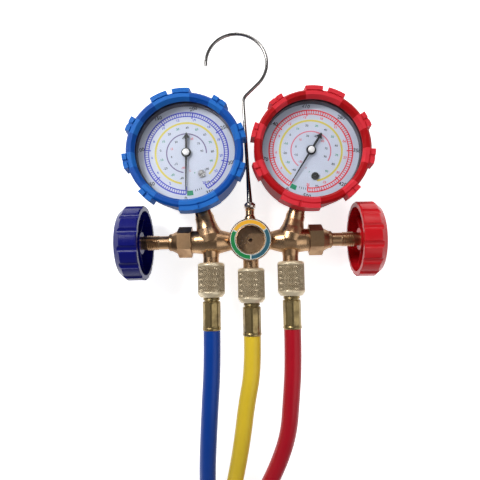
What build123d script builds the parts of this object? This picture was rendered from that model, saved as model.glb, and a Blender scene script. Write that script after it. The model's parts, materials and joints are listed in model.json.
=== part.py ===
"""Two-valve refrigerant manifold gauge set, lying on its back on a table, in millimetres.

Every rigid piece is built in the set's own working frame: X along the two valves, Y from the
hose ports towards the hook, Z out of the dials, and the valve axis through the origin. The set
is then laid down as one: its hand wheels and the back edges of its gauge boots reach the table,
which tips the dials a little towards the hook. The origin of the finished part is the middle of
the set's footprint on the table, +Y towards the hook and +Z up. The hoses are routed there.
"""

import os
from math import asin, atan2, cos, degrees, hypot, pi, radians, sin, tan

from build123d import *

os.makedirs("parts", exist_ok=True)

# ---------------------------------------------------------------- driving dimensions (mm, degrees)
FIT = 0.06  # radial clearance of a running fit
SEAT = 0.1  # play between pieces that are clamped or pushed together
FREE = 0.3  # air between pieces that move past each other

# Manifold body
cross_x = 26.5  # each cross, from the middle of the body
splay = 14.0  # each gauge leans outwards by this angle
boots_apart = 1.03  # between the tips of the two boots' lugs, if they met head on
bar_r = 6.1  # bar between the crosses
arm_r = 7.6  # arm from a cross to its packing nut
arm_shoulder = 38.8  # where the packing nut stops
arm_thread_r = 6.9
arm_end = 44.0
hub_r = 9.0  # swelling where the arms and ports meet
neck_r = 6.4  # gauge neck at its mouth
neck_root_r = 9.2
neck_root = 4.5
neck_throat = 14.0
neck_length = 17.3
port_r = 5.2  # plain part of a hose port
port_thread_r = 5.5
port_flare = 7.5  # the hub narrows to the port over this length
side_port_shoulder = 13.6  # where the port's thread begins
middle_port_extra = 4.0  # the middle port is longer by this
port_thread_length = 12.3
passage_r = 2.2  # drilled gas way of each port
bar_way_r = 1.8  # gas way along the bar, from seat to seat
sight_way_r = 1.4
chamber_r = 5.4  # valve chamber round the stem
chamber_end = 30.0
seat_x = 19.0  # valve seat, from the middle of the body
gland_depth = 3.0
gland_r = 5.9

# Sight glass in the middle of the body
boss_r = 12.6
boss_back = 8.5
boss_front = 8.5
well_r = 9.6
well_depth = 4.5
sight_ring_r = 13.7
sight_ring_height = 4.2
sight_window_r = 8.9
sight_glass_thick = 2.4
label_inner_r = 9.7
label_outer_r = 13.0
label_thick = 0.4

# Valves
stem_r = 4.5
stem_shank = 6.4  # square end that carries the hand wheel
stem_square_from = 72.6
stem_end = 80.5
seat_disc_r = 3.9
seat_disc_thick = 2.4
seat_pin_r = 1.6
seat_pin_length = 3.0
nut_flats = 18.0  # packing nut across its flats
nut_hex_length = 9.0
nut_cone_length = 6.4
nut_cone_r = 5.7
packing_thick = 2.6
valve_lead = 1.25  # travel of the stem for one turn

# Hand wheels
wheel_r = 25.0
wheel_width = 15.0
wheel_from = 70.0  # open rim, from the middle of the body
wheel_lobes = 14
flute_r = 3.0
flute_depth = 1.3
wheel_wall = 2.2
wheel_plate = 3.0
wheel_bevel = 3.4
wheel_hub_r = 7.4
wheel_hub_recess = 2.6
wheel_ribs = 7
rib_thick = 1.8
rib_recess = 5.0
wheel_screw_head_r = 4.2
wheel_screw_head = 2.2
wheel_screw_r = 2.0
wheel_screw_length = 8.0

# Gauges, in the gauge's own frame: Y away from its stem, Z out of the dial
boot_body_r = 35.6
boot_flange_step = 2.0  # the front flange stands out from the body
boot_lug_height = 2.9
boot_front = 20.0
boot_flange = 13.0
boot_back = 17.0
boot_wall = 2.5
boot_lip_hold = 2.5  # how far the lip laps over the case's rim
boot_lip = 3.9
boot_lip_slope = 1.6
boot_edge_fillet = 2.0
boot_back_opening_r = 22.0
boot_stem_hole_r = 7.4
lug_depth = 10.5
lug_notch = 1.2
case_wall = 1.0
case_rim_step = 1.8
case_rim_height = 4.0
crystal_thick = 1.6
crystal_inset = 1.1  # the case's rim stands round the crystal
dial_face = 8.8
dial_thick = 0.8
dial_hole_r = 1.6

socket_stem_r = 6.0
socket_thread_r = 4.7
socket_thread_length = 8.0
socket_flats = 10.6
socket_block = 12.0
socket_block_height = 12.0
socket_block_inner = 20.0  # the block's inner end, from the gauge's centre
socket_shelf = 26.0  # the deep part of the block ends here

tube_bend_r = 26.0  # Bourdon tube
tube_width = 4.0
tube_height = 8.6
tube_wall = 0.5
tube_mid_z = -1.6
tube_start = -96.0
tube_span = 279.0
tip_length = 4.5

gear_module = 0.3
pinion_teeth = 12
gear_ratio = 7.0  # pinion turns for one turn of the sector
tooth_share = 0.38  # tooth thickness over pitch, thin enough to run freely
tooth_head = 0.75  # in modules
tooth_foot = 1.15
gear_z = 2.0
sector_thick = 1.2
pinion_face = 2.2
arbor_r = 0.75
tail_length = 10.0
tail_width = 3.2
link_pin_r = 0.5
link_thick = 0.8
link_width = 2.4
link_end = (19.3, -5.2)
plate_thick = 1.0
plate_gap = 5.0
plate_half_width = 6.0
plate_top = 7.4
pillar_r = 1.1
pillar_y = -21.2
dial_post_r = 1.4
upper_plate_end = -22.6

needle_length = 25.0
needle_tail = 13.0
needle_root_width = 1.5
needle_tip_width = 0.5
needle_thick = 0.4
needle_z = 10.4
needle_hub_r = 3.2
needle_pin_r = 2.1
needle_spade_r = 1.9
zero_screw_at = (6.3, -16.1)
zero_screw_r = 2.5
zero_screw_shank_r = 1.2
zero_screw_height = 0.8
zero_slot = 0.7

# Needle at rest, clockwise from straight down the stem, and its full travel
gauges = {
    "low": {"side": -1, "zero": 15.0, "sweep": 329.0, "below_zero": 20.0},
    "high": {"side": 1, "zero": 18.6, "sweep": 334.0, "below_zero": 0.0},
}

# Hook
hook_wire_r = 1.2
hook_bend_r = 21.2
hook_side = -7.4  # centre of the hook's bend
hook_rise = 25.38  # from the top of the neck to that centre
hook_start_angle = -45.0
hook_tip_angle = 184.0
hook_neck_bend_r = 8.0
hook_lean_x = -3.2
hook_sleeve_r = 1.9
hook_sleeve_length = 18.0
stud_r = 4.0
stud_waist_r = 2.9
stud_from = 13.7
stud_to = 21.2
stud_pad_r = 4.4
stud_pin_length = 5.0
bead_r = 4.0
bead_height = 4.4
stud_pin_r = 1.5

# Hose fittings, along the hose from the nut's mouth
swivel_r = 9.0
swivel_length = 22.8
swivel_bore = 15.5
swivel_shoulder = 1.4
swivel_taper = 1.8
swivel_taper_length = 2.6
nut_relief = 0.4
nut_relief_lead = 0.2
nipple_r = 4.2
nipple_flange = 2.0
gasket_thick = 1.4
collar_r = 5.3
collar_length = 1.6
groove_length = 0.8
groove_r = 4.8
ferrule_r = 5.9
ferrule_length = 19.0
ferrule_lip_r = 6.1
ferrule_lip = 2.2
ferrule_flat_count = 8
ferrule_flat_r = 5.65

# Hoses
hose_r = 5.6
coil_centre = (48.0, -331.0)
lane_step = 11.5  # between neighbouring turns
inner_lane_r = 58.0
coil_slack = 0.2
bundle_reach = 51.0  # the three hoses run straight into the coil over this length
second_layer_from = 75.0  # the turns have climbed on top of the first ones by this angle
layer_lap = 12.0
end_angles = {"low": 270.0, "service": 304.0, "high": 342.0}  # where each hose ends, on top
end_drift = 1.5  # each end stands out from its lane by this
end_stub = 14.0

# ------------------------------------------------------------------------------- derived sizes
boot_ring_r = boot_body_r + boot_flange_step
boot_lug_r = boot_ring_r + boot_lug_height
case_r = boot_body_r - boot_wall - SEAT
case_rim_r = case_r + case_rim_step
crystal_r = case_rim_r - crystal_inset
boot_opening_r = case_rim_r - boot_lip_hold
gauge_x = boot_lug_r + boots_apart / 2
gauge_reach = (gauge_x - cross_x) / sin(radians(splay))
gauge_y = gauge_reach * cos(radians(splay))
hook_neck_y = gauge_y + boot_lug_r + FREE
hook_centre = (hook_side, hook_neck_y + hook_rise)
case_back = boot_wall + SEAT - boot_back
rim_top = boot_front - boot_lip - SEAT
rim_from = rim_top - case_rim_height
pinion_r = gear_module * pinion_teeth / 2
sector_teeth = pinion_teeth * gear_ratio
sector_r = gear_module * sector_teeth / 2
sector_y = -(pinion_r + sector_r)
plate_low = tube_mid_z + tube_height / 2 - 3.7
plate_high = plate_low + plate_thick + plate_gap
fitting_length = swivel_length + 2 * SEAT + collar_length + groove_length + ferrule_length


def turn(angle):
    """Unit vector in the XY plane."""
    return Vector(cos(radians(angle)), sin(radians(angle)))


def spun(outline, plane=Plane.XY, axis=None):
    """A solid turned from an outline of (radius, height) points about the plane's Y axis."""
    with BuildPart() as made:
        with BuildSketch(plane):
            with BuildLine():
                Polyline(*outline, close=True)
            make_face()
        revolve(axis=axis or Axis(plane.origin, plane.y_dir))
    return made.part


# ------------------------------------------------------------------------------- manifold body
def neck_plane(side):
    """The plane of a gauge neck: its Y axis leans outwards from the cross."""
    lean = radians(-side * splay)
    return Plane((side * cross_x, 0, 0), x_dir=(cos(lean), sin(lean), 0), z_dir=(0, 0, 1))


def port_outline(flare_r, shoulder):
    """Half outline of a hose port, pointing down: flare, plain neck, thread and flare seat."""
    end = shoulder + port_thread_length
    seat_cone = (port_thread_r - passage_r) * 0.6
    return [
        (0, 0),
        (flare_r, 0),
        (flare_r, -port_flare * 0.45),
        (port_r + (flare_r - port_r) * 0.35, -port_flare * 0.8),
        (port_r, -port_flare - 3.0),
        (port_r, -shoulder),
        (port_thread_r, -shoulder),
        (port_thread_r, -end + seat_cone),
        (passage_r + 0.8, -end),
        (0, -end),
    ]


middle_port_shoulder = side_port_shoulder + middle_port_extra
with BuildPart() as manifold:
    with BuildSketch(Plane.XY):
        with BuildLine():
            half = [
                (0, bar_r),
                (cross_x - hub_r - 4, bar_r),
                (cross_x - hub_r * 0.5, hub_r * 0.94),
                (cross_x + hub_r * 0.4, hub_r * 0.94),
                (cross_x + hub_r + 1.2, arm_r),
                (arm_shoulder, arm_r),
                (arm_shoulder, arm_thread_r),
                (arm_end, arm_thread_r),
            ]
            Polyline(
                *[(-x, y) for x, y in reversed(half)],
                *half[1:],
                (arm_end, 0),
                (-arm_end, 0),
                close=True,
            )
        make_face()
    revolve(axis=Axis.X)
    for side in (-1, 1):
        neck = neck_plane(side)
        with BuildSketch(neck):
            with BuildLine():
                Polyline(
                    (0, 0),
                    (neck_root_r, 0),
                    (neck_root_r, neck_root),
                    (neck_r + 0.35 * (neck_root_r - neck_r), (neck_root + neck_throat) / 2),
                    (neck_r, neck_throat),
                    (neck_r, neck_length),
                    (0, neck_length),
                    close=True,
                )
            make_face()
        revolve(axis=Axis(neck.origin, neck.y_dir))
        with BuildSketch(Plane((side * cross_x, 0, 0))):
            with BuildLine():
                Polyline(*port_outline(hub_r * 0.8, side_port_shoulder), close=True)
            make_face()
        revolve(axis=Axis((side * cross_x, 0, 0), (0, 1, 0)))
    with BuildSketch(Plane.XY):
        with BuildLine():
            Polyline(*port_outline(bar_r, middle_port_shoulder), close=True)
        make_face()
    revolve(axis=Axis.Y)
    with BuildSketch(Plane.XY.offset(-boss_back)):
        Circle(boss_r - 3)
    extrude(amount=3, taper=-45)
    with BuildSketch(Plane.XY.offset(3 - boss_back)):
        Circle(boss_r)
    extrude(amount=boss_back + boss_front - 3)
    with BuildSketch(Plane.XZ.offset(-stud_from)):
        Circle(stud_pad_r)
    extrude(amount=stud_from)
    # gas ways, valve chambers, glands, gauge threads and the sight well
    with BuildSketch(Plane.XY.offset(boss_front - well_depth)):
        Circle(well_r)
    extrude(amount=well_depth, mode=Mode.SUBTRACT)
    with BuildSketch(Plane.XY):
        Circle(sight_way_r)
    extrude(amount=boss_front, mode=Mode.SUBTRACT)
    with BuildSketch(Plane.YZ.offset(-seat_x)):
        Circle(bar_way_r)
    extrude(amount=2 * seat_x, mode=Mode.SUBTRACT)
    with BuildSketch(Plane.XZ):
        Circle(passage_r)
    extrude(amount=middle_port_shoulder + port_thread_length, mode=Mode.SUBTRACT)
    with BuildSketch(Plane.XZ.offset(-stud_from)):
        Circle(stud_pin_r + FIT)
    extrude(amount=stud_pin_length + FREE, mode=Mode.SUBTRACT)
    for side in (-1, 1):
        out = Plane((side * seat_x, 0, 0), z_dir=(side, 0, 0))
        with BuildSketch(out):
            Circle(chamber_r)
        extrude(amount=chamber_end - seat_x, mode=Mode.SUBTRACT)
        with BuildSketch(out):
            Circle(stem_r + FIT)
        extrude(amount=arm_end - seat_x, mode=Mode.SUBTRACT)
        with BuildSketch(out.offset(arm_end - seat_x - gland_depth)):
            Circle(gland_r)
        extrude(amount=gland_depth, mode=Mode.SUBTRACT)
        with BuildSketch(Plane((side * cross_x, 0, 0), x_dir=(1, 0, 0), z_dir=(0, -1, 0))):
            Circle(passage_r)
        extrude(amount=side_port_shoulder + port_thread_length, mode=Mode.SUBTRACT)
        neck = neck_plane(side)
        mouth = Plane(neck.origin + neck.y_dir * neck_length, z_dir=-neck.y_dir)
        with BuildSketch(mouth):
            Circle(socket_thread_r + SEAT / 2)
        extrude(amount=socket_thread_length + FREE, mode=Mode.SUBTRACT)
        with BuildSketch(mouth):
            Circle(passage_r)
        extrude(amount=neck_length, mode=Mode.SUBTRACT)
manifold_body = manifold.part

# ------------------------------------------------------------------------------- sight glass
ring_base = boss_front
ring_top = ring_base + sight_ring_height
glass_z = boss_front - well_depth + 2.0
with BuildPart() as sight:
    with BuildSketch(Plane.XY.offset(ring_base)):
        Circle(sight_ring_r)
        Circle(sight_window_r, mode=Mode.SUBTRACT)
    extrude(amount=sight_ring_height)
    with BuildSketch(Plane.XY.offset(glass_z + sight_glass_thick)):
        Circle(well_r - SEAT)
        Circle(sight_window_r, mode=Mode.SUBTRACT)
    extrude(amount=ring_base - glass_z - sight_glass_thick)
    with BuildSketch(Plane.XY.offset(ring_top - label_thick)):
        Circle(label_outer_r)
        Circle(label_inner_r, mode=Mode.SUBTRACT)
    extrude(amount=label_thick, mode=Mode.SUBTRACT)
    chamfer(sight.edges().filter_by(GeomType.CIRCLE).group_by(Axis.Z)[-1].sort_by(
        SortBy.RADIUS)[-1], length=0.5)
sight_ring = sight.part

with BuildPart() as label:
    with BuildSketch(Plane.XY.offset(ring_top - label_thick)):
        Circle(label_outer_r - FIT)
        Circle(label_inner_r + FIT, mode=Mode.SUBTRACT)
    extrude(amount=label_thick * 0.8)
sight_label = label.part

with BuildPart() as window:
    with BuildSketch(Plane.XY.offset(glass_z)):
        Circle(well_r - SEAT)
    extrude(amount=sight_glass_thick)
sight_glass = window.part


# ------------------------------------------------------------------------------- valves
def along_x(outline):
    """A solid turned about X from (distance along X, radius) points."""
    with BuildPart() as made:
        with BuildSketch(Plane.XY):
            with BuildLine():
                Polyline(*outline, close=True)
            make_face()
        revolve(axis=Axis.X)
    return made.part


seat_face = seat_x + SEAT / 2
stem_start = seat_face + seat_disc_thick + FREE / 3
seat_disc = along_x([
    (seat_face, 0),
    (seat_face, seat_disc_r - 0.8),
    (seat_face + 0.8, seat_disc_r),
    (seat_face + seat_disc_thick, seat_disc_r),
    (seat_face + seat_disc_thick, seat_pin_r),
    (seat_face + seat_disc_thick + seat_pin_length, seat_pin_r),
    (seat_face + seat_disc_thick + seat_pin_length, 0),
])

with BuildPart() as stem_piece:
    with BuildSketch(Plane.YZ.offset(stem_start)):
        Circle(stem_r)
    extrude(amount=stem_square_from - stem_start)
    with BuildSketch(Plane.YZ.offset(stem_square_from)):
        Rectangle(stem_shank, stem_shank)
    extrude(amount=stem_end - stem_square_from)
    with BuildSketch(Plane.YZ.offset(stem_start)):
        Circle(seat_pin_r + FIT)
    extrude(amount=seat_pin_length, mode=Mode.SUBTRACT)
    with BuildSketch(Plane.YZ.offset(stem_end - wheel_screw_length)):
        Circle(wheel_screw_r)
    extrude(amount=wheel_screw_length, mode=Mode.SUBTRACT)
stem = stem_piece.part

nut_end = arm_shoulder + nut_hex_length + nut_cone_length
with BuildPart() as packing_nut_piece:
    with BuildSketch(Plane.YZ.offset(arm_shoulder + SEAT)):
        RegularPolygon(nut_flats / 2, 6, major_radius=False, rotation=0)
    extrude(amount=nut_hex_length)
    with BuildSketch(Plane.XY):
        with BuildLine():
            Polyline(
                (arm_shoulder + SEAT, 0),
                (arm_shoulder + SEAT, nut_flats * 0.53),
                (arm_shoulder + SEAT + 1.0, nut_flats),
                (arm_shoulder + nut_hex_length - 2.6, nut_flats),
                (arm_shoulder + nut_hex_length + 0.6, nut_flats * 0.43),
                (arm_shoulder + nut_hex_length + 0.6, 0),
                close=True,
            )
        make_face()
    revolve(axis=Axis.X, mode=Mode.INTERSECT)
    with BuildSketch(Plane.XY):
        with BuildLine():
            Polyline(
                (arm_shoulder + nut_hex_length - 1.0, 0),
                (arm_shoulder + nut_hex_length - 1.0, nut_flats * 0.45),
                (arm_shoulder + nut_hex_length, nut_flats * 0.45),
                (nut_end - 2.2, nut_cone_r + 0.2),
                (nut_end - 0.5, nut_cone_r),
                (nut_end, nut_cone_r - 0.5),
                (nut_end, 0),
                close=True,
            )
        make_face()
    revolve(axis=Axis.X)
    with BuildSketch(Plane.YZ.offset(arm_shoulder)):
        Circle(arm_thread_r + SEAT)
    extrude(amount=arm_end - arm_shoulder + SEAT, mode=Mode.SUBTRACT)
    with BuildSketch(Plane.YZ.offset(arm_shoulder)):
        Circle(stem_r + FIT)
    extrude(amount=nut_end - arm_shoulder, mode=Mode.SUBTRACT)
packing_nut = packing_nut_piece.part

with BuildPart() as packing_piece:
    with BuildSketch(Plane.YZ.offset(arm_end - gland_depth + SEAT)):
        Circle(gland_r - FIT)
        Circle(stem_r + FIT, mode=Mode.SUBTRACT)
    extrude(amount=packing_thick)
packing = packing_piece.part


# ------------------------------------------------------------------------------- hand wheels
wheel_to = wheel_from + wheel_width
cup_depth = wheel_width - wheel_plate
cup_r = wheel_r - flute_depth - wheel_wall
with BuildPart() as wheel:
    with BuildSketch(Plane.YZ.offset(wheel_from)):
        Circle(wheel_r)
        with PolarLocations(wheel_r + flute_r - flute_depth, wheel_lobes,
                            start_angle=-90 + 180 / wheel_lobes):
            Circle(flute_r, mode=Mode.SUBTRACT)
    extrude(amount=wheel_width)
    # bevelled outer end and eased open rim
    with BuildSketch(Plane.XY):
        with BuildLine():
            Polyline(
                (wheel_from, 0),
                (wheel_from, wheel_r - 0.7),
                (wheel_from + 0.7, wheel_r),
                (wheel_to - wheel_bevel * 1.2, wheel_r),
                (wheel_to, wheel_r - wheel_bevel),
                (wheel_to, 0),
                close=True,
            )
        make_face()
    revolve(axis=Axis.X, mode=Mode.INTERSECT)
    with BuildSketch(Plane.YZ.offset(wheel_from)):
        Circle(cup_r)
    extrude(amount=cup_depth, mode=Mode.SUBTRACT)
    with BuildSketch(Plane.YZ.offset(wheel_from + wheel_hub_recess)):
        Circle(wheel_hub_r)
    extrude(amount=cup_depth - wheel_hub_recess)
    with BuildSketch(Plane.YZ.offset(wheel_from + rib_recess)):
        with PolarLocations(0, wheel_ribs, start_angle=-90):
            with Locations(((wheel_hub_r + cup_r) / 2, 0)):
                Rectangle(cup_r - wheel_hub_r + 1.0, rib_thick)
    extrude(amount=cup_depth - rib_recess)
    # the stem passes the hub's mouth round and its bottom square
    with BuildSketch(Plane.YZ.offset(wheel_from)):
        Circle(stem_r + SEAT)
    extrude(amount=stem_square_from - wheel_from + SEAT, mode=Mode.SUBTRACT)
    with BuildSketch(Plane.YZ.offset(wheel_from)):
        Rectangle(stem_shank + 2 * SEAT, stem_shank + 2 * SEAT)
    extrude(amount=stem_end - wheel_from + SEAT, mode=Mode.SUBTRACT)
    with BuildSketch(Plane.YZ.offset(wheel_to - wheel_screw_head)):
        Circle(wheel_screw_head_r + SEAT)
    extrude(amount=wheel_screw_head, mode=Mode.SUBTRACT)
    with BuildSketch(Plane.YZ.offset(wheel_from)):
        Circle(wheel_screw_r + SEAT)
    extrude(amount=wheel_width, mode=Mode.SUBTRACT)
hand_wheel = wheel.part

head_base = wheel_to - wheel_screw_head
with BuildPart() as wheel_screw_piece:
    with BuildSketch(Plane.YZ.offset(head_base)):
        Circle(wheel_screw_head_r)
    extrude(amount=wheel_screw_head - SEAT)
    with BuildSketch(Plane.YZ.offset(wheel_to - SEAT - 0.9)):
        Rectangle(0.9, 4 * wheel_screw_head_r / 2)
        Rectangle(4 * wheel_screw_head_r / 2, 0.9)
        Circle(wheel_screw_head_r * 0.6, mode=Mode.INTERSECT)
    extrude(amount=0.9, mode=Mode.SUBTRACT)
    with BuildSketch(Plane.YZ.offset(stem_end - wheel_screw_length + SEAT)):
        Circle(wheel_screw_r)
    extrude(amount=head_base - stem_end + wheel_screw_length - SEAT)
wheel_screw = wheel_screw_piece.part


# ------------------------------------------------------------------------------- gauge boot
def lug_sector(middle, half_width, outer_r, inner_r):
    """A piece of a ring about the gauge's centre, by the angle of its middle from the top."""
    start, end = 90 - middle - half_width, 90 - middle + half_width
    with BuildSketch(mode=Mode.PRIVATE) as sector:
        with BuildLine():
            CenterArc((0, 0), outer_r, start, end - start)
            CenterArc((0, 0), inner_r, start, end - start)
            Line(turn(start) * inner_r, turn(start) * outer_r)
            Line(turn(end) * inner_r, turn(end) * outer_r)
        make_face()
    return sector.sketch


lugs = [(0, 20)] + [(way * at, 8) for at in (50, 87, 126) for way in (-1, 1)] + [(180, 20)]
notches = [(0, 2.6)] + [(way * at, 1.4) for at in (50, 87, 126) for way in (-1, 1)] + [(180, 1.4)]
lip_back = boot_front - boot_lip
with BuildPart() as boot_piece:
    with BuildSketch(Plane.XZ):
        with BuildLine():
            Polyline(
                (boot_back_opening_r, -boot_back),
                (boot_body_r - boot_edge_fillet, -boot_back),
                (boot_body_r - boot_edge_fillet * 0.3, -boot_back + boot_edge_fillet * 0.3),
                (boot_body_r, -boot_back + boot_edge_fillet),
                (boot_body_r, boot_front - boot_flange),
                (boot_ring_r, boot_front - boot_flange + 1.0),
                (boot_ring_r, boot_front - 1.6),
                (boot_ring_r - 1.4, boot_front),
                (boot_opening_r + boot_lip_slope, boot_front),
                (boot_opening_r, lip_back + 1.2),
                (boot_opening_r, lip_back),
                (case_rim_r + SEAT, lip_back),
                (case_rim_r + SEAT, rim_from - SEAT),
                (boot_body_r - boot_wall, rim_from - SEAT),
                (boot_body_r - boot_wall, boot_wall - boot_back),
                (boot_back_opening_r, boot_wall - boot_back),
                close=True,
            )
        make_face()
    revolve(axis=Axis.Z)
    with BuildSketch(Plane.XY.offset(boot_front - lug_depth)) as lug_outline:
        for middle, half_width in lugs:
            add(lug_sector(middle, half_width, boot_lug_r, boot_ring_r - 1.0))
    extrude(amount=lug_depth, taper=3)
    # the broad top lug is split, the others carry a small notch in their front edge
    with BuildSketch(Plane.XY.offset(boot_front - lug_notch)):
        for middle, half_width in notches:
            add(lug_sector(middle, half_width, boot_lug_r + 1, boot_ring_r - 1.6))
    extrude(amount=lug_notch + 1, mode=Mode.SUBTRACT)
    with BuildSketch(Plane.XY.offset(boot_front - lug_depth - 1)):
        add(lug_sector(0, notches[0][1], boot_lug_r + 1, boot_ring_r))
    extrude(amount=lug_depth + 2, mode=Mode.SUBTRACT)
    with BuildSketch(Plane.XZ.offset(boot_body_r - boot_wall - 2)):
        Circle(boot_stem_hole_r)
    extrude(amount=boot_wall + 3, mode=Mode.SUBTRACT)
boot = boot_piece.part

# ------------------------------------------------------------------------------- gauge case
bore_r = case_r - case_wall
crystal_z = rim_top - crystal_thick - 0.8
with BuildPart() as case_piece:
    with BuildSketch(Plane.XZ):
        with BuildLine():
            Polyline(
                (0, case_back),
                (case_r - 1.5, case_back),
                (case_r, case_back + 1.5),
                (case_r, rim_from),
                (case_rim_r, rim_from),
                (case_rim_r, rim_top),
                (crystal_r - 0.9, rim_top),
                (crystal_r - 0.9, rim_top - 0.6),
                (crystal_r + SEAT, rim_top - 0.6),
                (crystal_r + SEAT, crystal_z - SEAT),
                (bore_r, crystal_z - SEAT),
                (bore_r, case_back + case_wall),
                (0, case_back + case_wall),
                close=True,
            )
        make_face()
    revolve(axis=Axis.Z)
    with BuildSketch(Plane.XZ.offset(bore_r - 2)):
        Circle(socket_stem_r + SEAT)
    extrude(amount=case_wall + 3, mode=Mode.SUBTRACT)
    # ledge pressed in behind the dial
    with BuildSketch(Plane.XY.offset(dial_face - dial_thick - SEAT - 0.6)):
        Circle(bore_r + case_wall / 2)
        Circle(bore_r - 0.9, mode=Mode.SUBTRACT)
    extrude(amount=0.6)
case = case_piece.part

with BuildPart() as crystal_piece:
    with BuildSketch(Plane.XY.offset(crystal_z)):
        Circle(crystal_r)
    extrude(amount=crystal_thick)
crystal = crystal_piece.part

with BuildPart() as dial_piece:
    with BuildSketch(Plane.XY.offset(dial_face - dial_thick)):
        Circle(bore_r - SEAT)
        Circle(dial_hole_r, mode=Mode.SUBTRACT)
        with Locations(zero_screw_at):
            Circle(zero_screw_shank_r + FIT, mode=Mode.SUBTRACT)
    extrude(amount=dial_thick)
dial = dial_piece.part

with BuildPart() as zero_screw_piece:
    with BuildSketch(Plane.XY.offset(dial_face + FIT)):
        with Locations(zero_screw_at):
            Circle(zero_screw_r)
    extrude(amount=zero_screw_height)
    with BuildSketch(Plane.XY.offset(dial_face + FIT + zero_screw_height * 0.5)):
        with Locations(Location((*zero_screw_at, 0), (0, 0, 35))):
            Rectangle(2 * zero_screw_r, zero_slot)
    extrude(amount=zero_screw_height, mode=Mode.SUBTRACT)
    with BuildSketch(Plane.XY.offset(plate_high + plate_thick + SEAT)):
        with Locations(zero_screw_at):
            Circle(zero_screw_shank_r)
    extrude(amount=dial_face + FIT - plate_high - plate_thick - SEAT)
zero_screw = zero_screw_piece.part

# ------------------------------------------------------------------------------- Bourdon tube
with BuildPart() as tube_piece:
    start = Plane((0, 0, tube_mid_z), x_dir=turn(tube_start), z_dir=turn(tube_start - 90))
    with BuildSketch(start):
        with Locations((tube_bend_r, 0)):
            SlotOverall(tube_height, tube_width, rotation=90)
            SlotOverall(tube_height - 2 * tube_wall, tube_width - 2 * tube_wall, rotation=90,
                        mode=Mode.SUBTRACT)
    revolve(axis=Axis((0, 0, 0), (0, 0, -1)), revolution_arc=tube_span)
    # closed tip with the tab that the link is hooked on
    tip = turn(tube_start - tube_span)
    tip_plane = Plane(tip * tube_bend_r + Vector(0, 0, tube_mid_z), x_dir=tip,
                      z_dir=turn(tube_start - tube_span - 90))
    with BuildSketch(tip_plane):
        SlotOverall(tube_height, tube_width, rotation=90)
    extrude(amount=tip_length)
    with BuildSketch(Plane.XY.offset(tube_mid_z - 1)):
        with Locations(Location(tip_plane.origin - tip * 3.4 + tip_plane.z_dir * 2,
                                (0, 0, tube_start - tube_span))):
            Rectangle(5.4, 3.2)
    extrude(amount=2)
bourdon_tube = tube_piece.part

with BuildPart() as tube_body:
    with BuildSketch(start):
        with Locations((tube_bend_r, 0)):
            SlotOverall(tube_height, tube_width, rotation=90)
    revolve(axis=Axis((0, 0, 0), (0, 0, -1)), revolution_arc=tube_span / 4)

# ------------------------------------------------------------------------------- gauge socket
socket_end = gauge_reach - neck_length - SEAT
with BuildPart() as socket_piece:
    with BuildSketch(Plane.XZ.offset(socket_shelf)):
        Rectangle(socket_block, socket_block_height)
    extrude(amount=bore_r - 1.2 - socket_shelf)
    with BuildSketch(Plane.XY.offset(-socket_block_height / 2)):
        with Locations((0, -(socket_shelf + socket_block_inner) / 2)):
            Rectangle(socket_block, socket_shelf - socket_block_inner)
    extrude(amount=socket_block_height / 2 + plate_low - SEAT / 2)
    with BuildSketch(Plane.XZ.offset(socket_shelf)):
        Circle(socket_stem_r)
    extrude(amount=socket_end - socket_shelf)
    # wrench flats below the boot
    with BuildSketch(Plane.XZ.offset(boot_body_r + 0.8)):
        Circle(socket_stem_r + 1)
        Rectangle(socket_flats, 3 * socket_stem_r, mode=Mode.SUBTRACT)
    extrude(amount=socket_end - boot_body_r - 2.4, mode=Mode.SUBTRACT)
    with BuildSketch(Plane.XZ.offset(socket_end)):
        Circle(socket_thread_r)
    extrude(amount=socket_thread_length)
    with BuildSketch(Plane.XZ.offset(socket_block_inner + 3)):
        Circle(1.2)
    extrude(amount=socket_end + socket_thread_length, mode=Mode.SUBTRACT)
    add(tube_body.part, mode=Mode.SUBTRACT)
socket = socket_piece.part


# ------------------------------------------------------------------------------- movement
def toothed(teeth, first, count):
    """Thin-toothed rim: the given run of teeth on a wheel of so many teeth, as a sketch."""
    pitch = gear_module * teeth / 2
    head, foot = pitch + tooth_head * gear_module, pitch - tooth_foot * gear_module
    step = 360 / teeth
    base, top = step * (tooth_share + 0.14) / 2, step * (tooth_share - 0.16) / 2
    with BuildSketch(mode=Mode.PRIVATE) as rim:
        for n in range(count):
            at = first + n * step
            with BuildLine():
                Polyline(
                    turn(at - base * 1.1) * (foot - 0.1),
                    turn(at - base) * foot,
                    turn(at - step * tooth_share / 2) * pitch,
                    turn(at - top) * head,
                    turn(at + top) * head,
                    turn(at + step * tooth_share / 2) * pitch,
                    turn(at + base) * foot,
                    turn(at + base * 1.1) * (foot - 0.1),
                    close=True,
                )
            make_face()
    return rim.sketch


with BuildPart() as pinion_piece:
    with BuildSketch(Plane.XY.offset(gear_z - (pinion_face - sector_thick) / 2)):
        Circle(pinion_r - tooth_foot * gear_module)
        # a gap, not a tooth, faces the sector
        add(toothed(pinion_teeth, -90 + 180 / pinion_teeth, pinion_teeth))
    extrude(amount=pinion_face)
    with BuildSketch(Plane.XY.offset(plate_low - 0.6)):
        Circle(arbor_r)
    extrude(amount=needle_z + needle_thick + 0.6 - plate_low)
pinion = pinion_piece.part

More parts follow.
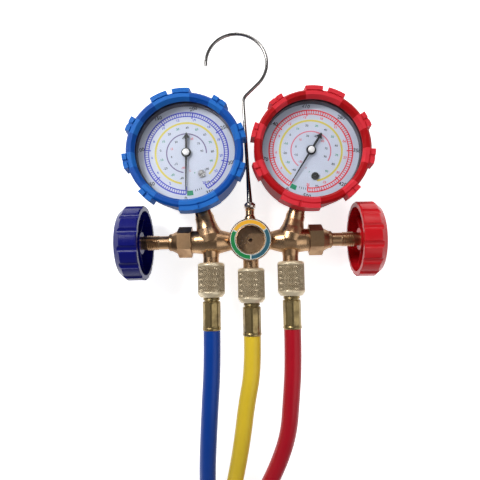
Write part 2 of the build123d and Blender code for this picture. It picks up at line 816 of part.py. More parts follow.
step = 360 / sector_teeth
sector_run = degrees(radians(gauges["high"]["sweep"])) / gear_ratio
teeth_below = int(sector_run / step) + 2
teeth_above = int(gauges["low"]["below_zero"] / gear_ratio / step) + 3
tail_angle = -sector_run / 2
sector_pivot = (0, sector_y)
with BuildPart() as sector_piece:
    with BuildSketch(Plane.XY.offset(gear_z)) as wedge:
        from_angle = 90 - (teeth_below + 0.5) * step
        to_angle = 90 + (teeth_above + 0.5) * step
        foot_r = sector_r - tooth_foot * gear_module
        with BuildLine():
            CenterArc((0, 0), foot_r, from_angle, to_angle - from_angle)
            Line(turn(from_angle) * foot_r, (0, 0))
            Line((0, 0), turn(to_angle) * foot_r)
        make_face()
        # the rim is carried by two spokes
        with BuildSketch(mode=Mode.PRIVATE) as opening:
            with BuildLine():
                CenterArc((0, 0), foot_r - 2.0, from_angle + 12, to_angle - from_angle - 24)
                Line(turn(from_angle + 12) * (foot_r - 2.0), turn(from_angle + 22) * 5.0)
                Line(turn(from_angle + 22) * 5.0, turn(to_angle - 22) * 5.0)
                Line(turn(to_angle - 22) * 5.0, turn(to_angle - 12) * (foot_r - 2.0))
            make_face()
        add(opening.sketch, mode=Mode.SUBTRACT)
        add(toothed(sector_teeth, 90 - teeth_below * step, teeth_below + teeth_above + 1))
        Circle(2.4)
        with Locations(Location(turn(tail_angle) * (tail_length / 2), (0, 0, tail_angle))):
            SlotCenterToCenter(tail_length, tail_width)
        with Locations(turn(tail_angle) * tail_length):
            Circle(link_pin_r + FIT, mode=Mode.SUBTRACT)
    extrude(amount=sector_thick)
    with BuildSketch(Plane.XY.offset(plate_low - 0.4)):
        Circle(arbor_r)
    extrude(amount=plate_gap + 2 * plate_thick + 0.8)
sector = Pos(0, sector_y, 0) * sector_piece.part

tail = Vector(*sector_pivot) + turn(tail_angle) * tail_length
link_z = gear_z + sector_thick + FREE / 2
with BuildPart() as link_piece:
    reach = Vector(*link_end) - tail
    with BuildSketch(Plane.XY.offset(link_z)):
        with Locations(Location((tail + Vector(*link_end)) / 2,
                                (0, 0, degrees(atan2(reach.Y, reach.X))))):
            SlotCenterToCenter(reach.length, link_width)
        with Locations(link_end):
            Circle(link_pin_r, mode=Mode.SUBTRACT)
    extrude(amount=link_thick)
    with BuildSketch(Plane.XY.offset(gear_z)):
        with Locations(tail):
            Circle(link_pin_r)
    extrude(amount=link_z - gear_z)
link = link_piece.part


def movement_plate(bottom):
    """Outline of a movement plate, down to the given Y, with its two arbor holes."""
    with BuildSketch(mode=Mode.PRIVATE) as plate:
        with BuildLine():
            Polyline(
                (-plate_half_width, bottom),
                (plate_half_width, bottom),
                (plate_half_width, sector_y),
                (plate_half_width * 0.6, plate_top),
                (-plate_half_width * 0.6, plate_top),
                (-plate_half_width, sector_y),
                close=True,
            )
        make_face()
        with Locations((0, 0), sector_pivot):
            Circle(arbor_r + FIT, mode=Mode.SUBTRACT)
    return plate.sketch


with BuildPart() as movement_piece:
    with BuildSketch(Plane.XY.offset(plate_low)):
        add(movement_plate(tube_width / 2 + 5 * FREE - tube_bend_r))
    extrude(amount=plate_thick)
    with BuildSketch(Plane.XY.offset(plate_high)):
        add(movement_plate(upper_plate_end))
    extrude(amount=plate_thick)
    posts = [(0, plate_top - 1.6)] + [(x, pillar_y) for x in (-4.5, 4.5)]
    with BuildSketch(Plane.XY.offset(plate_low)):
        with Locations(*posts):
            Circle(pillar_r)
    extrude(amount=plate_high - plate_low + plate_thick)
    # the dial stands on two posts
    with BuildSketch(Plane.XY.offset(plate_high + plate_thick)):
        with Locations(*[(x, y) for x, y in posts if x <= 0]):
            Circle(dial_post_r)
    extrude(amount=dial_face - dial_thick - SEAT / 2 - plate_high - plate_thick)
movement = movement_piece.part


def needle(zero):
    """The needle, pointing so many degrees clockwise from straight down the stem."""
    with BuildPart() as made:
        with BuildSketch(Plane.XY.offset(needle_z)):
            with BuildLine():
                Polyline(
                    (0, -needle_root_width / 2),
                    (needle_length, -needle_tip_width / 2),
                    (needle_length, needle_tip_width / 2),
                    (0, needle_root_width / 2),
                    (-needle_tail, needle_root_width / 2),
                    (-needle_tail, -needle_root_width / 2),
                    close=True,
                )
            make_face()
            Circle(needle_hub_r)
            with Locations((-needle_tail + needle_spade_r, 0)):
                RegularPolygon(needle_spade_r * 1.3, 3, rotation=180)
        extrude(amount=needle_thick)
        with BuildSketch(Plane.XY.offset(dial_face + FREE)):
            Circle(needle_pin_r)
        extrude(amount=needle_z + needle_thick + 1.2 - dial_face - FREE)
        with BuildSketch(Plane.XY.offset(dial_face)):
            Circle(arbor_r)
        extrude(amount=needle_z + needle_thick - dial_face, mode=Mode.SUBTRACT)
    return Rot(0, 0, -90 - zero) * made.part


# ------------------------------------------------------------------------------- hook
with BuildPart() as stud_piece:
    with BuildSketch(Plane.XY):
        with BuildLine():
            Polyline(
                (0, stud_from - stud_pin_length),
                (stud_pin_r, stud_from - stud_pin_length),
                (stud_pin_r, stud_from + SEAT / 2),
                (stud_r, stud_from + SEAT / 2),
                (stud_r - 0.4, stud_from + 2.4),
                (stud_waist_r, stud_from + 3.6),
                (stud_waist_r, stud_to - 0.8),
                (stud_waist_r + 0.5, stud_to),
                (0, stud_to),
                close=True,
            )
        make_face()
    revolve(axis=Axis.Y)
    with BuildSketch(Plane.XZ.offset(-stud_to)):
        Circle(hook_wire_r + FIT)
    extrude(amount=4.0, mode=Mode.SUBTRACT)
hook_stud = stud_piece.part

bead_from = stud_to + FREE
bead_to = bead_from + bead_height
with BuildPart() as bead_piece:
    with BuildSketch(Plane.XY):
        with BuildLine():
            Polyline(
                (0, bead_from),
                (bead_r - 1.2, bead_from),
                (bead_r - 0.3, bead_from + 0.9),
                (bead_r, bead_from + bead_height / 2),
                (bead_r - 0.3, bead_to - 0.9),
                (bead_r - 1.2, bead_to),
                (0, bead_to),
                close=True,
            )
        make_face()
    revolve(axis=Axis.Y)
    with BuildSketch(Plane.XZ.offset(-bead_to)):
        Circle(hook_wire_r)
    extrude(amount=bead_height, mode=Mode.SUBTRACT)
hook_bead = bead_piece.part

hook_c = Vector(*hook_centre)
bend_start = hook_c + turn(hook_start_angle) * hook_bend_r
with BuildPart() as hook_piece:
    with BuildLine() as wire_path:
        straight = Vector(hook_lean_x, hook_neck_y)
        foot = Vector(0, bead_to)
        FilletPolyline((0, stud_to - 3.6), foot, straight, bend_start,
                       radius=[hook_bend_r * 3, hook_neck_bend_r])
        CenterArc(hook_c, hook_bend_r, hook_start_angle, hook_tip_angle - hook_start_angle)
    with BuildSketch(Plane((0, stud_to - 3.6, 0), z_dir=(0, 1, 0))):
        Circle(hook_wire_r)
    sweep()
    lean = (straight - foot).normalized()
    with BuildSketch(Plane(foot + lean * 0.4, z_dir=lean)):
        Circle(hook_sleeve_r)
    with BuildSketch(Plane(foot + lean * hook_sleeve_length, z_dir=lean)):
        Circle(hook_wire_r + 0.05)
    loft()
hook = hook_piece.part


# ------------------------------------------------------------------------------- hose fittings
nut_bore_r = port_thread_r + FIT + 0.02
flange_top = -swivel_bore + nipple_flange + SEAT
# the thread ends in a wider relief, just short of the nipple's flange
relief_top = flange_top + nut_relief_lead
swivel_nut = spun([
    (nut_bore_r, 0),
    (swivel_r - swivel_shoulder, 0),
    (swivel_r - swivel_shoulder * 0.3, -swivel_shoulder * 0.4),
    (swivel_r, -swivel_shoulder),
    (swivel_r, swivel_taper_length - swivel_length),
    (swivel_r - swivel_taper, -swivel_length),
    (nipple_r + FIT, -swivel_length),
    (nipple_r + FIT, -swivel_bore),
    (nut_bore_r + nut_relief, -swivel_bore),
    (nut_bore_r + nut_relief, relief_top),
    (nut_bore_r, relief_top),
])
collar_top = -swivel_length - SEAT * 2
sleeve_top = collar_top - collar_length - groove_length
sleeve_end = -fitting_length
with BuildPart() as ferrule_piece:
    with BuildSketch(Plane.XY):
        with BuildLine():
            Polyline(
                (0, flange_top),
                (collar_r, flange_top),
                (collar_r, flange_top - nipple_flange),
                (nipple_r, flange_top - nipple_flange),
                (nipple_r, collar_top),
                (collar_r, collar_top),
                (collar_r + 0.2, collar_top - collar_length),
                (groove_r, collar_top - collar_length),
                (groove_r, sleeve_top),
                (ferrule_r - 0.5, sleeve_top),
                (ferrule_r, sleeve_top - 0.6),
                (ferrule_r, sleeve_end + ferrule_lip),
                (ferrule_lip_r, sleeve_end + ferrule_lip * 0.6),
                (ferrule_lip_r, sleeve_end + 0.5),
                (ferrule_lip_r - 0.4, sleeve_end),
                (0, sleeve_end),
                close=True,
            )
        make_face()
    revolve(axis=Axis.Y)
    # crimped flats along the sleeve
    with BuildSketch(Plane.XZ.offset(1.6 - sleeve_top)):
        Circle(ferrule_r + 1)
        RegularPolygon(ferrule_flat_r, ferrule_flat_count, major_radius=False, mode=Mode.SUBTRACT)
    extrude(amount=ferrule_length - ferrule_lip - 2.4, mode=Mode.SUBTRACT)
    with BuildSketch(Plane.XZ.offset(-flange_top)):
        Circle(passage_r)
    extrude(amount=-sleeve_end + flange_top - 1.0, mode=Mode.SUBTRACT)
ferrule = ferrule_piece.part

with BuildPart() as gasket_piece:
    with BuildSketch(Plane.XZ.offset(-flange_top - gasket_thick)):
        Circle(collar_r)
        Circle(passage_r, mode=Mode.SUBTRACT)
    extrude(amount=gasket_thick)
gasket = gasket_piece.part

# ------------------------------------------------------------------------------- laying it down
# The wheels' lobes and the rounded back edges of the boots touch the table together.
edge_y = gauge_y + boot_body_r - boot_edge_fillet
edge_z = boot_back - boot_edge_fillet
tilt = asin((wheel_r - boot_edge_fillet) / hypot(edge_y, edge_z)) - atan2(edge_z, edge_y)
laid = Location((0, 0, 0), (-degrees(tilt), 0, 0))

pieces = {
    "manifold_body": manifold_body,
    "sight_ring": sight_ring,
    "sight_label": sight_label,
    "sight_glass": sight_glass,
    "hook_stud": hook_stud,
    "hook_bead": hook_bead,
    "hook": hook,
}
valve_pieces = {
    "knob": hand_wheel,
    "knob_screw": wheel_screw,
    "valve_stem": stem,
    "seat_disc": seat_disc,
    "packing_nut": packing_nut,
    "packing": packing,
}
gauge_pieces = {
    "boot": boot,
    "case": case,
    "crystal": crystal,
    "dial": dial,
    "zero_screw": zero_screw,
    "bourdon_tube": bourdon_tube,
    "socket": socket,
    "movement": movement,
    "pinion": pinion,
    "sector": sector,
    "link": link,
}
for name, gauge in gauges.items():
    side = gauge["side"]
    at = Location((side * gauge_x, gauge_y, 0), (0, 0, -side * splay))
    for piece, solid in gauge_pieces.items():
        pieces[f"{name}_{piece}"] = at * solid
    pieces[f"{name}_needle"] = at * needle(gauge["zero"])
    for piece, solid in valve_pieces.items():
        pieces[f"{name}_{piece}"] = solid if side > 0 else mirror(solid, about=Plane.YZ)

hoses = {
    "low": {"x": -cross_x, "shoulder": side_port_shoulder},
    "service": {"x": 0.0, "shoulder": middle_port_shoulder},
    "high": {"x": cross_x, "shoulder": side_port_shoulder},
}
gasket_solids = []
for name, hose in hoses.items():
    mouth_y = -hose["shoulder"] - port_thread_length - gasket_thick - flange_top - SEAT
    at = Location((hose["x"], mouth_y, 0))
    pieces[f"{name}_hose_nut"] = at * swivel_nut
    pieces[f"{name}_hose_ferrule"] = at * ferrule
    gasket_solids.append(at * gasket)
    hose["exit"] = (hose["x"], mouth_y + sleeve_end, 0)
pieces["hose_gaskets"] = Compound(children=gasket_solids)

down = Compound(children=[laid * solid for solid in pieces.values()]).bounding_box()
rest = Location((-down.center().X, -down.center().Y, -down.min.Z)) * laid
pieces = {name: rest * solid for name, solid in pieces.items()}

# ------------------------------------------------------------------------------- hoses
# Each hose leaves its ferrule along the port, sinks to the table and runs into the coil.
exit_way = Plane(rest * Location((0, 0, 0), (90, 0, 0))).z_dir
outer_lane_r = inner_lane_r + 2 * lane_step
coil_x, coil_y = coil_centre
bundle_y = coil_y + bundle_reach
lanes = {"low": outer_lane_r, "service": inner_lane_r + lane_step, "high": inner_lane_r}
routes = {
    "low": [(-28.4, -147.0, 31.6), (-30.2, -170.0, 28.6), (-32.0, -194.0, 22.8),
            (-33.0, -218.0, 15.4), (-33.4, -241.0, 8.4)],
    "service": [(-4.6, -148.0, 31.9), (-7.6, -171.0, 28.9), (-11.6, -194.5, 22.9),
                (-16.4, -218.0, 15.4), (-20.2, -241.0, 8.4)],
    "high": [(24.6, -147.0, 31.4), (22.8, -170.0, 28.4), (15.6, -194.0, 22.6),
             (5.4, -218.0, 15.4), (-4.6, -241.0, 8.4)],
}
first_run = 22.0
last_run = 18.0


def tube_radii(points):
    """The largest tangent arcs that the runs of a route leave room for."""
    radii = []
    for before, point, after in zip(points, points[1:], points[2:]):
        come, go = point - before, after - point
        half = radians(come.get_angle(go)) / 2
        radii.append(0.45 * min(come.length, go.length) / tan(half))
    return radii


for name, hose in hoses.items():
    start = (rest * Location(hose["exit"])).position
    lane_x = coil_x - lanes[name]
    points = [start, start + exit_way * first_run]
    points += [Vector(*point) for point in routes[name]]
    points += [Vector(lane_x, bundle_y + last_run, hose_r), Vector(lane_x, bundle_y, hose_r)]
    radii = tube_radii(points)
    with BuildPart() as hose_tube:
        with BuildLine() as route:
            FilletPolyline(*points, radius=radii)
        with BuildSketch(Plane(start, z_dir=exit_way)):
            Circle(hose_r)
        sweep()
    pieces[f"{name}_hose_tube"] = hose_tube.part
    run = route.wires()[0].length
    print(name, "tube", round(run, 1), "mm, volume over section x length",
          round(hose_tube.part.volume / (pi * hose_r**2 * run), 4),
          "radii", [round(r) for r in radii])

# The hoses make a turn on the table and part of one on top of it, and their fittings lie on
# the first turn, one behind the other.
layer_height = 2 * hose_r + coil_slack
far_axis_z = layer_height + SEAT + swivel_r
lane_half = hose_r + coil_slack
coil_outer_r = outer_lane_r + lane_half
coil_inner_r = inner_lane_r - lane_half
end_planes = {}
for name, lane_r in lanes.items():
    out, ahead = turn(end_angles[name]), turn(end_angles[name] + 90)
    start = Vector(coil_x, coil_y, far_axis_z) + out * (lane_r + end_drift)
    end_planes[name] = Plane(start, x_dir=(out.X, out.Y, 0), z_dir=(ahead.X, ahead.Y, 0))
with BuildPart() as coil_piece:
    # the first layer leaves a way in for the hoses under the second
    with BuildSketch(Plane(coil_centre)):
        with BuildLine():
            outer = CenterArc((0, 0), coil_outer_r, 180, second_layer_from + layer_lap + 180)
            inner = CenterArc((0, 0), coil_inner_r, 180, second_layer_from + layer_lap + 180)
            Line(outer @ 0, inner @ 0)
            Line(outer @ 1, inner @ 1)
        make_face()
        with Locations((-lanes["service"], bundle_reach / 2)):
            Rectangle(2 * (lane_step + lane_half), bundle_reach)
    extrude(amount=layer_height)
    with BuildSketch(Plane(coil_centre).offset(layer_height)):
        with BuildLine():
            low_end, service_end, high_end = end_angles.values()
            all_three = CenterArc((0, 0), coil_outer_r, second_layer_from, low_end - second_layer_from)
            two = CenterArc((0, 0), lanes["low"] - lane_step / 2, low_end, service_end - low_end)
            one = CenterArc((0, 0), lanes["service"] - lane_step / 2, service_end, high_end - service_end)
            inner = CenterArc((0, 0), coil_inner_r, second_layer_from, high_end - second_layer_from)
            Line(all_three @ 1, two @ 0)
            Line(two @ 1, one @ 0)
            Line(one @ 1, inner @ 1)
            Line(inner @ 0, all_three @ 0)
        make_face()
    extrude(amount=layer_height)
    for place in end_planes.values():
        with BuildSketch(place):
            Circle(hose_r)
        extrude(amount=-end_stub)
pieces["hose_coil"] = coil_piece.part
for name, place in end_planes.items():
    # the fitting's own Y runs back along the hose from the nut's mouth
    mouth = place.origin - place.z_dir * sleeve_end
    at = Location(Plane(mouth, x_dir=place.x_dir, z_dir=(0, 0, 1)))
    pieces[f"{name}_end_nut"] = at * swivel_nut
    pieces[f"{name}_end_ferrule"] = at * ferrule

for name, solid in pieces.items():
    solid.label = name
    export_step(solid, f"parts/{name}.step")
print(len(pieces), "pieces; tilt", round(degrees(tilt), 3), "box", down.size)
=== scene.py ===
import json
from math import cos, degrees, pi, radians, sin

import bmesh
import bpy
from bpy.props import FloatProperty, FloatVectorProperty, IntProperty, PointerProperty
from mathutils import Matrix, Vector


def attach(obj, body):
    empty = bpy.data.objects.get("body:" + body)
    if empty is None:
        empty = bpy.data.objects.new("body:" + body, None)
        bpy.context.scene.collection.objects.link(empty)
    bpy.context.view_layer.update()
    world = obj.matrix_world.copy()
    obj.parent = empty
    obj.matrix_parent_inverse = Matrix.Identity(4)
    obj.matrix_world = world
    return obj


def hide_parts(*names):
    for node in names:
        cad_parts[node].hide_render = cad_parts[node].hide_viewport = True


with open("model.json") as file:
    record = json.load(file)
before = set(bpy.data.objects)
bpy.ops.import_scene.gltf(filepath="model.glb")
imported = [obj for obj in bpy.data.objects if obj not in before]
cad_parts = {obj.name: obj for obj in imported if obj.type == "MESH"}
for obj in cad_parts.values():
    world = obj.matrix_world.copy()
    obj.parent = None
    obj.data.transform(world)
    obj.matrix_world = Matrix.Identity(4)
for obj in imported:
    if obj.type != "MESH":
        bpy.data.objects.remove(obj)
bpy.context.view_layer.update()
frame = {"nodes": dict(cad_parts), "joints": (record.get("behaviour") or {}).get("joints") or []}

bl_info = {
    "name": "Refrigerant manifold gauge set",
    "version": (1, 0, 0),
    "blender": (4, 5, 0),
    "location": "3D View > Sidebar > Gauge set",
    "description": "Dresses the gauges, valves, hoses and hook of a refrigerant manifold gauge set",
    "category": "Object",
}

MM = 0.001
SIDES = ("low", "high")
HOSES = ("low", "service", "high")
JOINTS = {joint["name"]: joint for joint in frame["joints"]}
NODES = frame["nodes"]


# ------------------------------------------------------------------------------ places
def joint_place(name):
    """Where a joint stands and the way its axis points."""
    joint = JOINTS[name]
    return Vector(joint["pos_m"]), Vector(joint["axis"]).normalized()


def upright(centre, up, ahead):
    """A place with its Z along up and its Y as near ahead as can be, in millimetres."""
    up = up.normalized()
    ahead = (ahead - up * ahead.dot(up)).normalized()
    across = ahead.cross(up)
    turned = Matrix((across, ahead, up)).transposed().to_4x4()
    return Matrix.Translation(centre) @ turned @ Matrix.Scale(MM, 4)


SPLAY = {"low": radians(14.0), "high": radians(-14.0)}
LAID_Y = joint_place("hook_swivel")[1]
UP = Vector((0.0, 0.0, 1.0))


def gauge_place(side):
    """Millimetres in the gauge's own frame: Y away from its stem, Z out of the dial."""
    centre, normal = joint_place(f"{side}_needle_turn")
    across = Vector((1, 0, 0))
    lean = SPLAY[side]
    ahead = LAID_Y * cos(lean) - across * sin(lean)
    return upright(centre, normal, ahead)


def body_place():
    """Millimetres in the manifold's frame: X along the valves, Z towards the viewer."""
    normal = joint_place("low_needle_turn")[1]
    seat = joint_place("low_valve_turn")[0]
    return upright(Vector((0.0, seat.y, seat.z)), normal, LAID_Y)


# ------------------------------------------------------------------------------ meshes
def new_object(name, mesh):
    thing = bpy.data.objects.new(name, mesh)
    bpy.context.scene.collection.objects.link(thing)
    return thing


def mesh_object(name, points, faces):
    """A new smooth object of these points and faces."""
    mesh = bpy.data.meshes.new(name)
    mesh.from_pydata([tuple(p) for p in points], [], faces)
    mesh.validate()
    mesh.update()
    for face in mesh.polygons:
        face.use_smooth = True
    return new_object(name, mesh)


def sharpen(thing, angle=35.0):
    """Smooth faces with sharp edges where they turn by more than the angle."""
    mesh = bmesh.new()
    mesh.from_mesh(thing.data)
    bmesh.ops.remove_doubles(mesh, verts=mesh.verts, dist=1e-6)
    for edge in mesh.edges:
        if len(edge.link_faces) == 2:
            edge.smooth = edge.calc_face_angle(0.0) < radians(angle)
    for face in mesh.faces:
        face.smooth = True
    mesh.to_mesh(thing.data)
    mesh.free()


def turned_mesh(name, profile, place, steps, relief=None):
    """A turned piece: profile gives (along, radius), along the place's Z.

    relief(along, angle, radius) may change the radius, as a knurl does."""
    points, faces, sunk = [], [], []
    rows = len(profile)
    for i in range(steps):
        angle = 2 * pi * i / steps
        for along, radius in profile:
            r = relief(along, angle, radius) if relief else radius
            sunk.append(radius - r)
            points.append(place @ Vector((r * cos(angle), r * sin(angle), along)))
    for i in range(steps):
        j = (i + 1) % steps
        for k in range(rows):
            m = (k + 1) % rows
            faces.append((i * rows + k, j * rows + k, j * rows + m, i * rows + m))
    thing = mesh_object(name, points, faces)
    if relief:
        groove = thing.data.attributes.new("groove", "FLOAT", "POINT")
        groove.data.foreach_set("value", sunk)
    sharpen(thing, 30.0)
    return thing


def paint_node(name, finish_name):
    """A node of the frame takes this finish in all its slots."""
    node = NODES[name]
    material = finish(finish_name)
    if not node.material_slots:
        node.data.materials.append(material)
    for slot in node.material_slots:
        slot.material = material


# ------------------------------------------------------------------------------ materials
FINISHES = {}


class Finish:
    """A material being made: its nodes, its shader and short ways to add to them."""

    def __init__(self, name):
        FINISHES[name] = self
        self.material = bpy.data.materials.new(name)
        self.material.use_nodes = True
        self.nodes = self.material.node_tree.nodes
        self.tree = self.material.node_tree
        self.shader = self.nodes["Principled BSDF"]

    def set(self, **values):
        for key, value in values.items():
            self.shader.inputs[key.replace("_", " ")].default_value = value

    def group(self, tree, **inputs):
        made = self.nodes.new("ShaderNodeGroup")
        made.node_tree = tree
        for key, value in inputs.items():
            made.inputs[key.replace("_", " ")].default_value = value
        return made

    def link(self, source, target):
        self.tree.links.new(source, target)

    def feed(self, source, socket):
        self.link(source, self.shader.inputs[socket])

    def bump(self, height, distance=0.0002, strength=0.5):
        made = self.nodes.new("ShaderNodeBump")
        made.inputs["Strength"].default_value = strength
        made.inputs["Distance"].default_value = distance
        self.link(height, made.inputs["Height"])
        self.feed(made.outputs["Normal"], "Normal")


def new_tree(name, takes, gives):
    """A shader node group with these named sockets and its two end nodes."""
    tree = bpy.data.node_groups.new(name, "ShaderNodeTree")
    kinds = {"f": "NodeSocketFloat", "c": "NodeSocketColor", "v": "NodeSocketVector"}
    for label, kind, default in takes:
        socket = tree.interface.new_socket(name=label, in_out="INPUT", socket_type=kinds[kind])
        socket.default_value = default
    for label, kind in gives:
        tree.interface.new_socket(name=label, in_out="OUTPUT", socket_type=kinds[kind])
    return tree, tree.nodes.new("NodeGroupInput"), tree.nodes.new("NodeGroupOutput")


def fill(tree, node, inputs):
    """Links each of the node's inputs to a socket, or gives it a value."""
    for key, value in inputs.items():
        if isinstance(value, bpy.types.NodeSocket):
            tree.links.new(value, node.inputs[key])
        elif value is not None:
            node.inputs[key].default_value = value


def math_node(tree, operation, a, b=None, c=None, clamp=False):
    """One math node, fed by sockets or numbers; gives its output."""
    made = tree.nodes.new("ShaderNodeMath")
    made.operation = operation
    made.use_clamp = clamp
    fill(tree, made, {0: a, 1: b, 2: c})
    return made.outputs[0]


def vector_node(tree, operation, a, b=None):
    made = tree.nodes.new("ShaderNodeVectorMath")
    made.operation = operation
    fill(tree, made, {0: a, 1: b})
    return made


def mix_colour(tree, factor, a, b):
    made = tree.nodes.new("ShaderNodeMix")
    made.data_type = "RGBA"
    fill(tree, made, {0: factor, 6: a, 7: b})  # 6 and 7 are the colours' own inputs
    return made.outputs[2]


def noise_node(tree, vector, scale, detail, rough=0.5):
    made = tree.nodes.new("ShaderNodeTexNoise")
    fill(tree, made, {"Vector": vector, "Scale": scale, "Detail": detail, "Roughness": rough})
    return made.outputs[0]


def rgba(colour):
    return (*tuple(colour)[:3], 1.0)


def place_tree():
    """Turns the object's own coordinates into a piece's place: radius, angle and height in mm."""
    tree, into, out = new_tree(
        "Round place",
        [("Centre", "v", (0, 0, 0)), ("Across", "v", (1, 0, 0)), ("Ahead", "v", (0, 1, 0)),
         ("Up", "v", (0, 0, 1))],
        [("Height", "f"), ("Radius", "f"), ("Angle", "f")],
    )
    coords = tree.nodes.new("ShaderNodeTexCoord").outputs["Object"]
    away = vector_node(tree, "SUBTRACT", coords, into.outputs["Centre"]).outputs[0]
    sized = []
    for axis in ("Across", "Ahead", "Up"):
        part = vector_node(tree, "DOT_PRODUCT", away, into.outputs[axis]).outputs["Value"]
        sized.append(math_node(tree, "MULTIPLY", part, 1 / MM))
    across, ahead, height = sized
    square = math_node(tree, "ADD", math_node(tree, "MULTIPLY", across, across),
                       math_node(tree, "MULTIPLY", ahead, ahead))
    radius = math_node(tree, "SQRT", square)
    # clockwise from straight ahead, in degrees, as a dial is read
    angle = math_node(tree, "MULTIPLY", math_node(tree, "ARCTAN2", across, ahead), degrees(1.0))
    fill(tree, out, {"Height": height, "Radius": radius, "Angle": angle})
    return tree


def grain_tree():
    """Moulded grain and slow colour drift for rubber and plastic."""
    tree, into, out = new_tree(
        "Moulded grain",
        [("Colour", "c", (0.5, 0.5, 0.5, 1)), ("Drift", "f", 0.12), ("Grain scale", "f", 2500.0)],
        [("Colour", "c"), ("Rough drift", "f"), ("Height", "f")],
    )
    coords = tree.nodes.new("ShaderNodeTexCoord").outputs["Object"]
    slow = noise_node(tree, coords, 60.0, 4.0, 0.6)
    fine = noise_node(tree, coords, into.outputs["Grain scale"], 2.0)
    lift = math_node(tree, "MULTIPLY_ADD", math_node(tree, "SUBTRACT", slow, 0.5),
                     into.outputs["Drift"], 1.0)
    scaled = vector_node(tree, "SCALE", into.outputs["Colour"])
    tree.links.new(lift, scaled.inputs["Scale"])
    fill(tree, out, {"Colour": scaled.outputs[0], "Rough drift": slow, "Height": fine})
    return tree


def metal_tree():
    """Handled metal: tarnish in patches, fine scratches and a cast or rolled surface."""
    tree, into, out = new_tree(
        "Handled metal",
        [("Colour", "c", (0.6, 0.4, 0.2, 1)), ("Tarnish", "c", (0.3, 0.18, 0.08, 1)),
         ("Amount", "f", 0.4), ("Roughness", "f", 0.3), ("Patch scale", "f", 90.0)],
        [("Colour", "c"), ("Roughness", "f"), ("Height", "f")],
    )
    coords = tree.nodes.new("ShaderNodeTexCoord").outputs["Object"]
    patches = noise_node(tree, coords, into.outputs["Patch scale"], 5.0, 0.65)
    fine = noise_node(tree, coords, 1400.0, 2.0)
    spread = tree.nodes.new("ShaderNodeMapRange")
    fill(tree, spread, {"Value": patches, "From Min": 0.42, "From Max": 0.68})
    mask = math_node(tree, "MULTIPLY", spread.outputs[0], into.outputs["Amount"], clamp=True)
    colour = mix_colour(tree, mask, into.outputs["Colour"], into.outputs["Tarnish"])
    rough = math_node(tree, "MULTIPLY_ADD", mask, 0.18, into.outputs["Roughness"])
    rough = math_node(tree, "MULTIPLY_ADD", math_node(tree, "SUBTRACT", fine, 0.5), 0.1, rough)
    high = math_node(tree, "MULTIPLY_ADD", patches, 1.5, fine)
    fill(tree, out, {"Colour": colour, "Roughness": rough, "Height": high})
    return tree


TREES = {}


def tree(name):
    """The shared effects, each built once."""
    makers = {"place": place_tree, "grain": grain_tree, "metal": metal_tree}
    if name not in TREES:
        TREES[name] = makers[name]()
    return TREES[name]


def axes_of(place):
    """Centre and unit axes of a place, for the round place effect."""
    across, ahead, up = (Vector(place.col[i][:3]).normalized() for i in range(3))
    return {"Centre": tuple(place.translation), "Across": tuple(across), "Ahead": tuple(ahead),
            "Up": tuple(up)}


ROUGH_SPREAD = 0.16


def moulded(name, colour, roughness, grain=2500.0, depth=0.00012, drift=0.14, coat=0.0):
    """Rubber or plastic with a fine moulded grain."""
    made = Finish(name)
    grainy = made.group(tree("grain"), Colour=rgba(colour), Drift=drift, Grain_scale=grain)
    made.feed(grainy.outputs["Colour"], "Base Color")
    # the slow noise, 0 to 1, spreads the roughness evenly either way
    rough = math_node(made.tree, "MULTIPLY_ADD", grainy.outputs["Rough drift"], ROUGH_SPREAD,
                      roughness - ROUGH_SPREAD / 2)
    made.feed(rough, "Roughness")
    made.bump(grainy.outputs["Height"], depth, 0.35)
    made.set(Coat_Weight=coat, Coat_Roughness=0.12)
    return made


def metal(name, colour, tarnish, amount, roughness, patch=90.0, depth=0.00006, strength=0.3):
    """Bare metal with handling marks."""
    made = Finish(name)
    worn = made.group(tree("metal"), Colour=rgba(colour), Tarnish=rgba(tarnish), Amount=amount,
                      Roughness=roughness, Patch_scale=patch)
    made.feed(worn.outputs["Colour"], "Base Color")
    made.feed(worn.outputs["Roughness"], "Roughness")
    made.bump(worn.outputs["Height"], depth, strength)
    made.set(Metallic=1.0)
    return made


def window_finish():
    """A clear window that lets the lamps' light through to what lies under it."""
    made = Finish("window")
    made.set(Base_Color=(1.0, 1.0, 1.0, 1.0), Roughness=0.02, IOR=1.45, Transmission_Weight=1.0)
    path = made.nodes.new("ShaderNodeLightPath")
    through = made.nodes.new("ShaderNodeBsdfTransparent")
    mix = made.nodes.new("ShaderNodeMixShader")
    made.link(path.outputs["Is Shadow Ray"], mix.inputs[0])
    made.link(made.shader.outputs[0], mix.inputs[1])
    made.link(through.outputs[0], mix.inputs[2])
    made.link(mix.outputs[0], made.nodes["Material Output"].inputs["Surface"])


def finish(name):
    return FINISHES[name].material


def settings():
    return bpy.context.scene.gauge_set


# ------------------------------------------------------------------------------ sizes and colours
def colour_prop(label, about, default):
    return FloatVectorProperty(name=label, description=about, subtype="COLOR", size=3, min=0.0,
                               max=1.0, default=default)


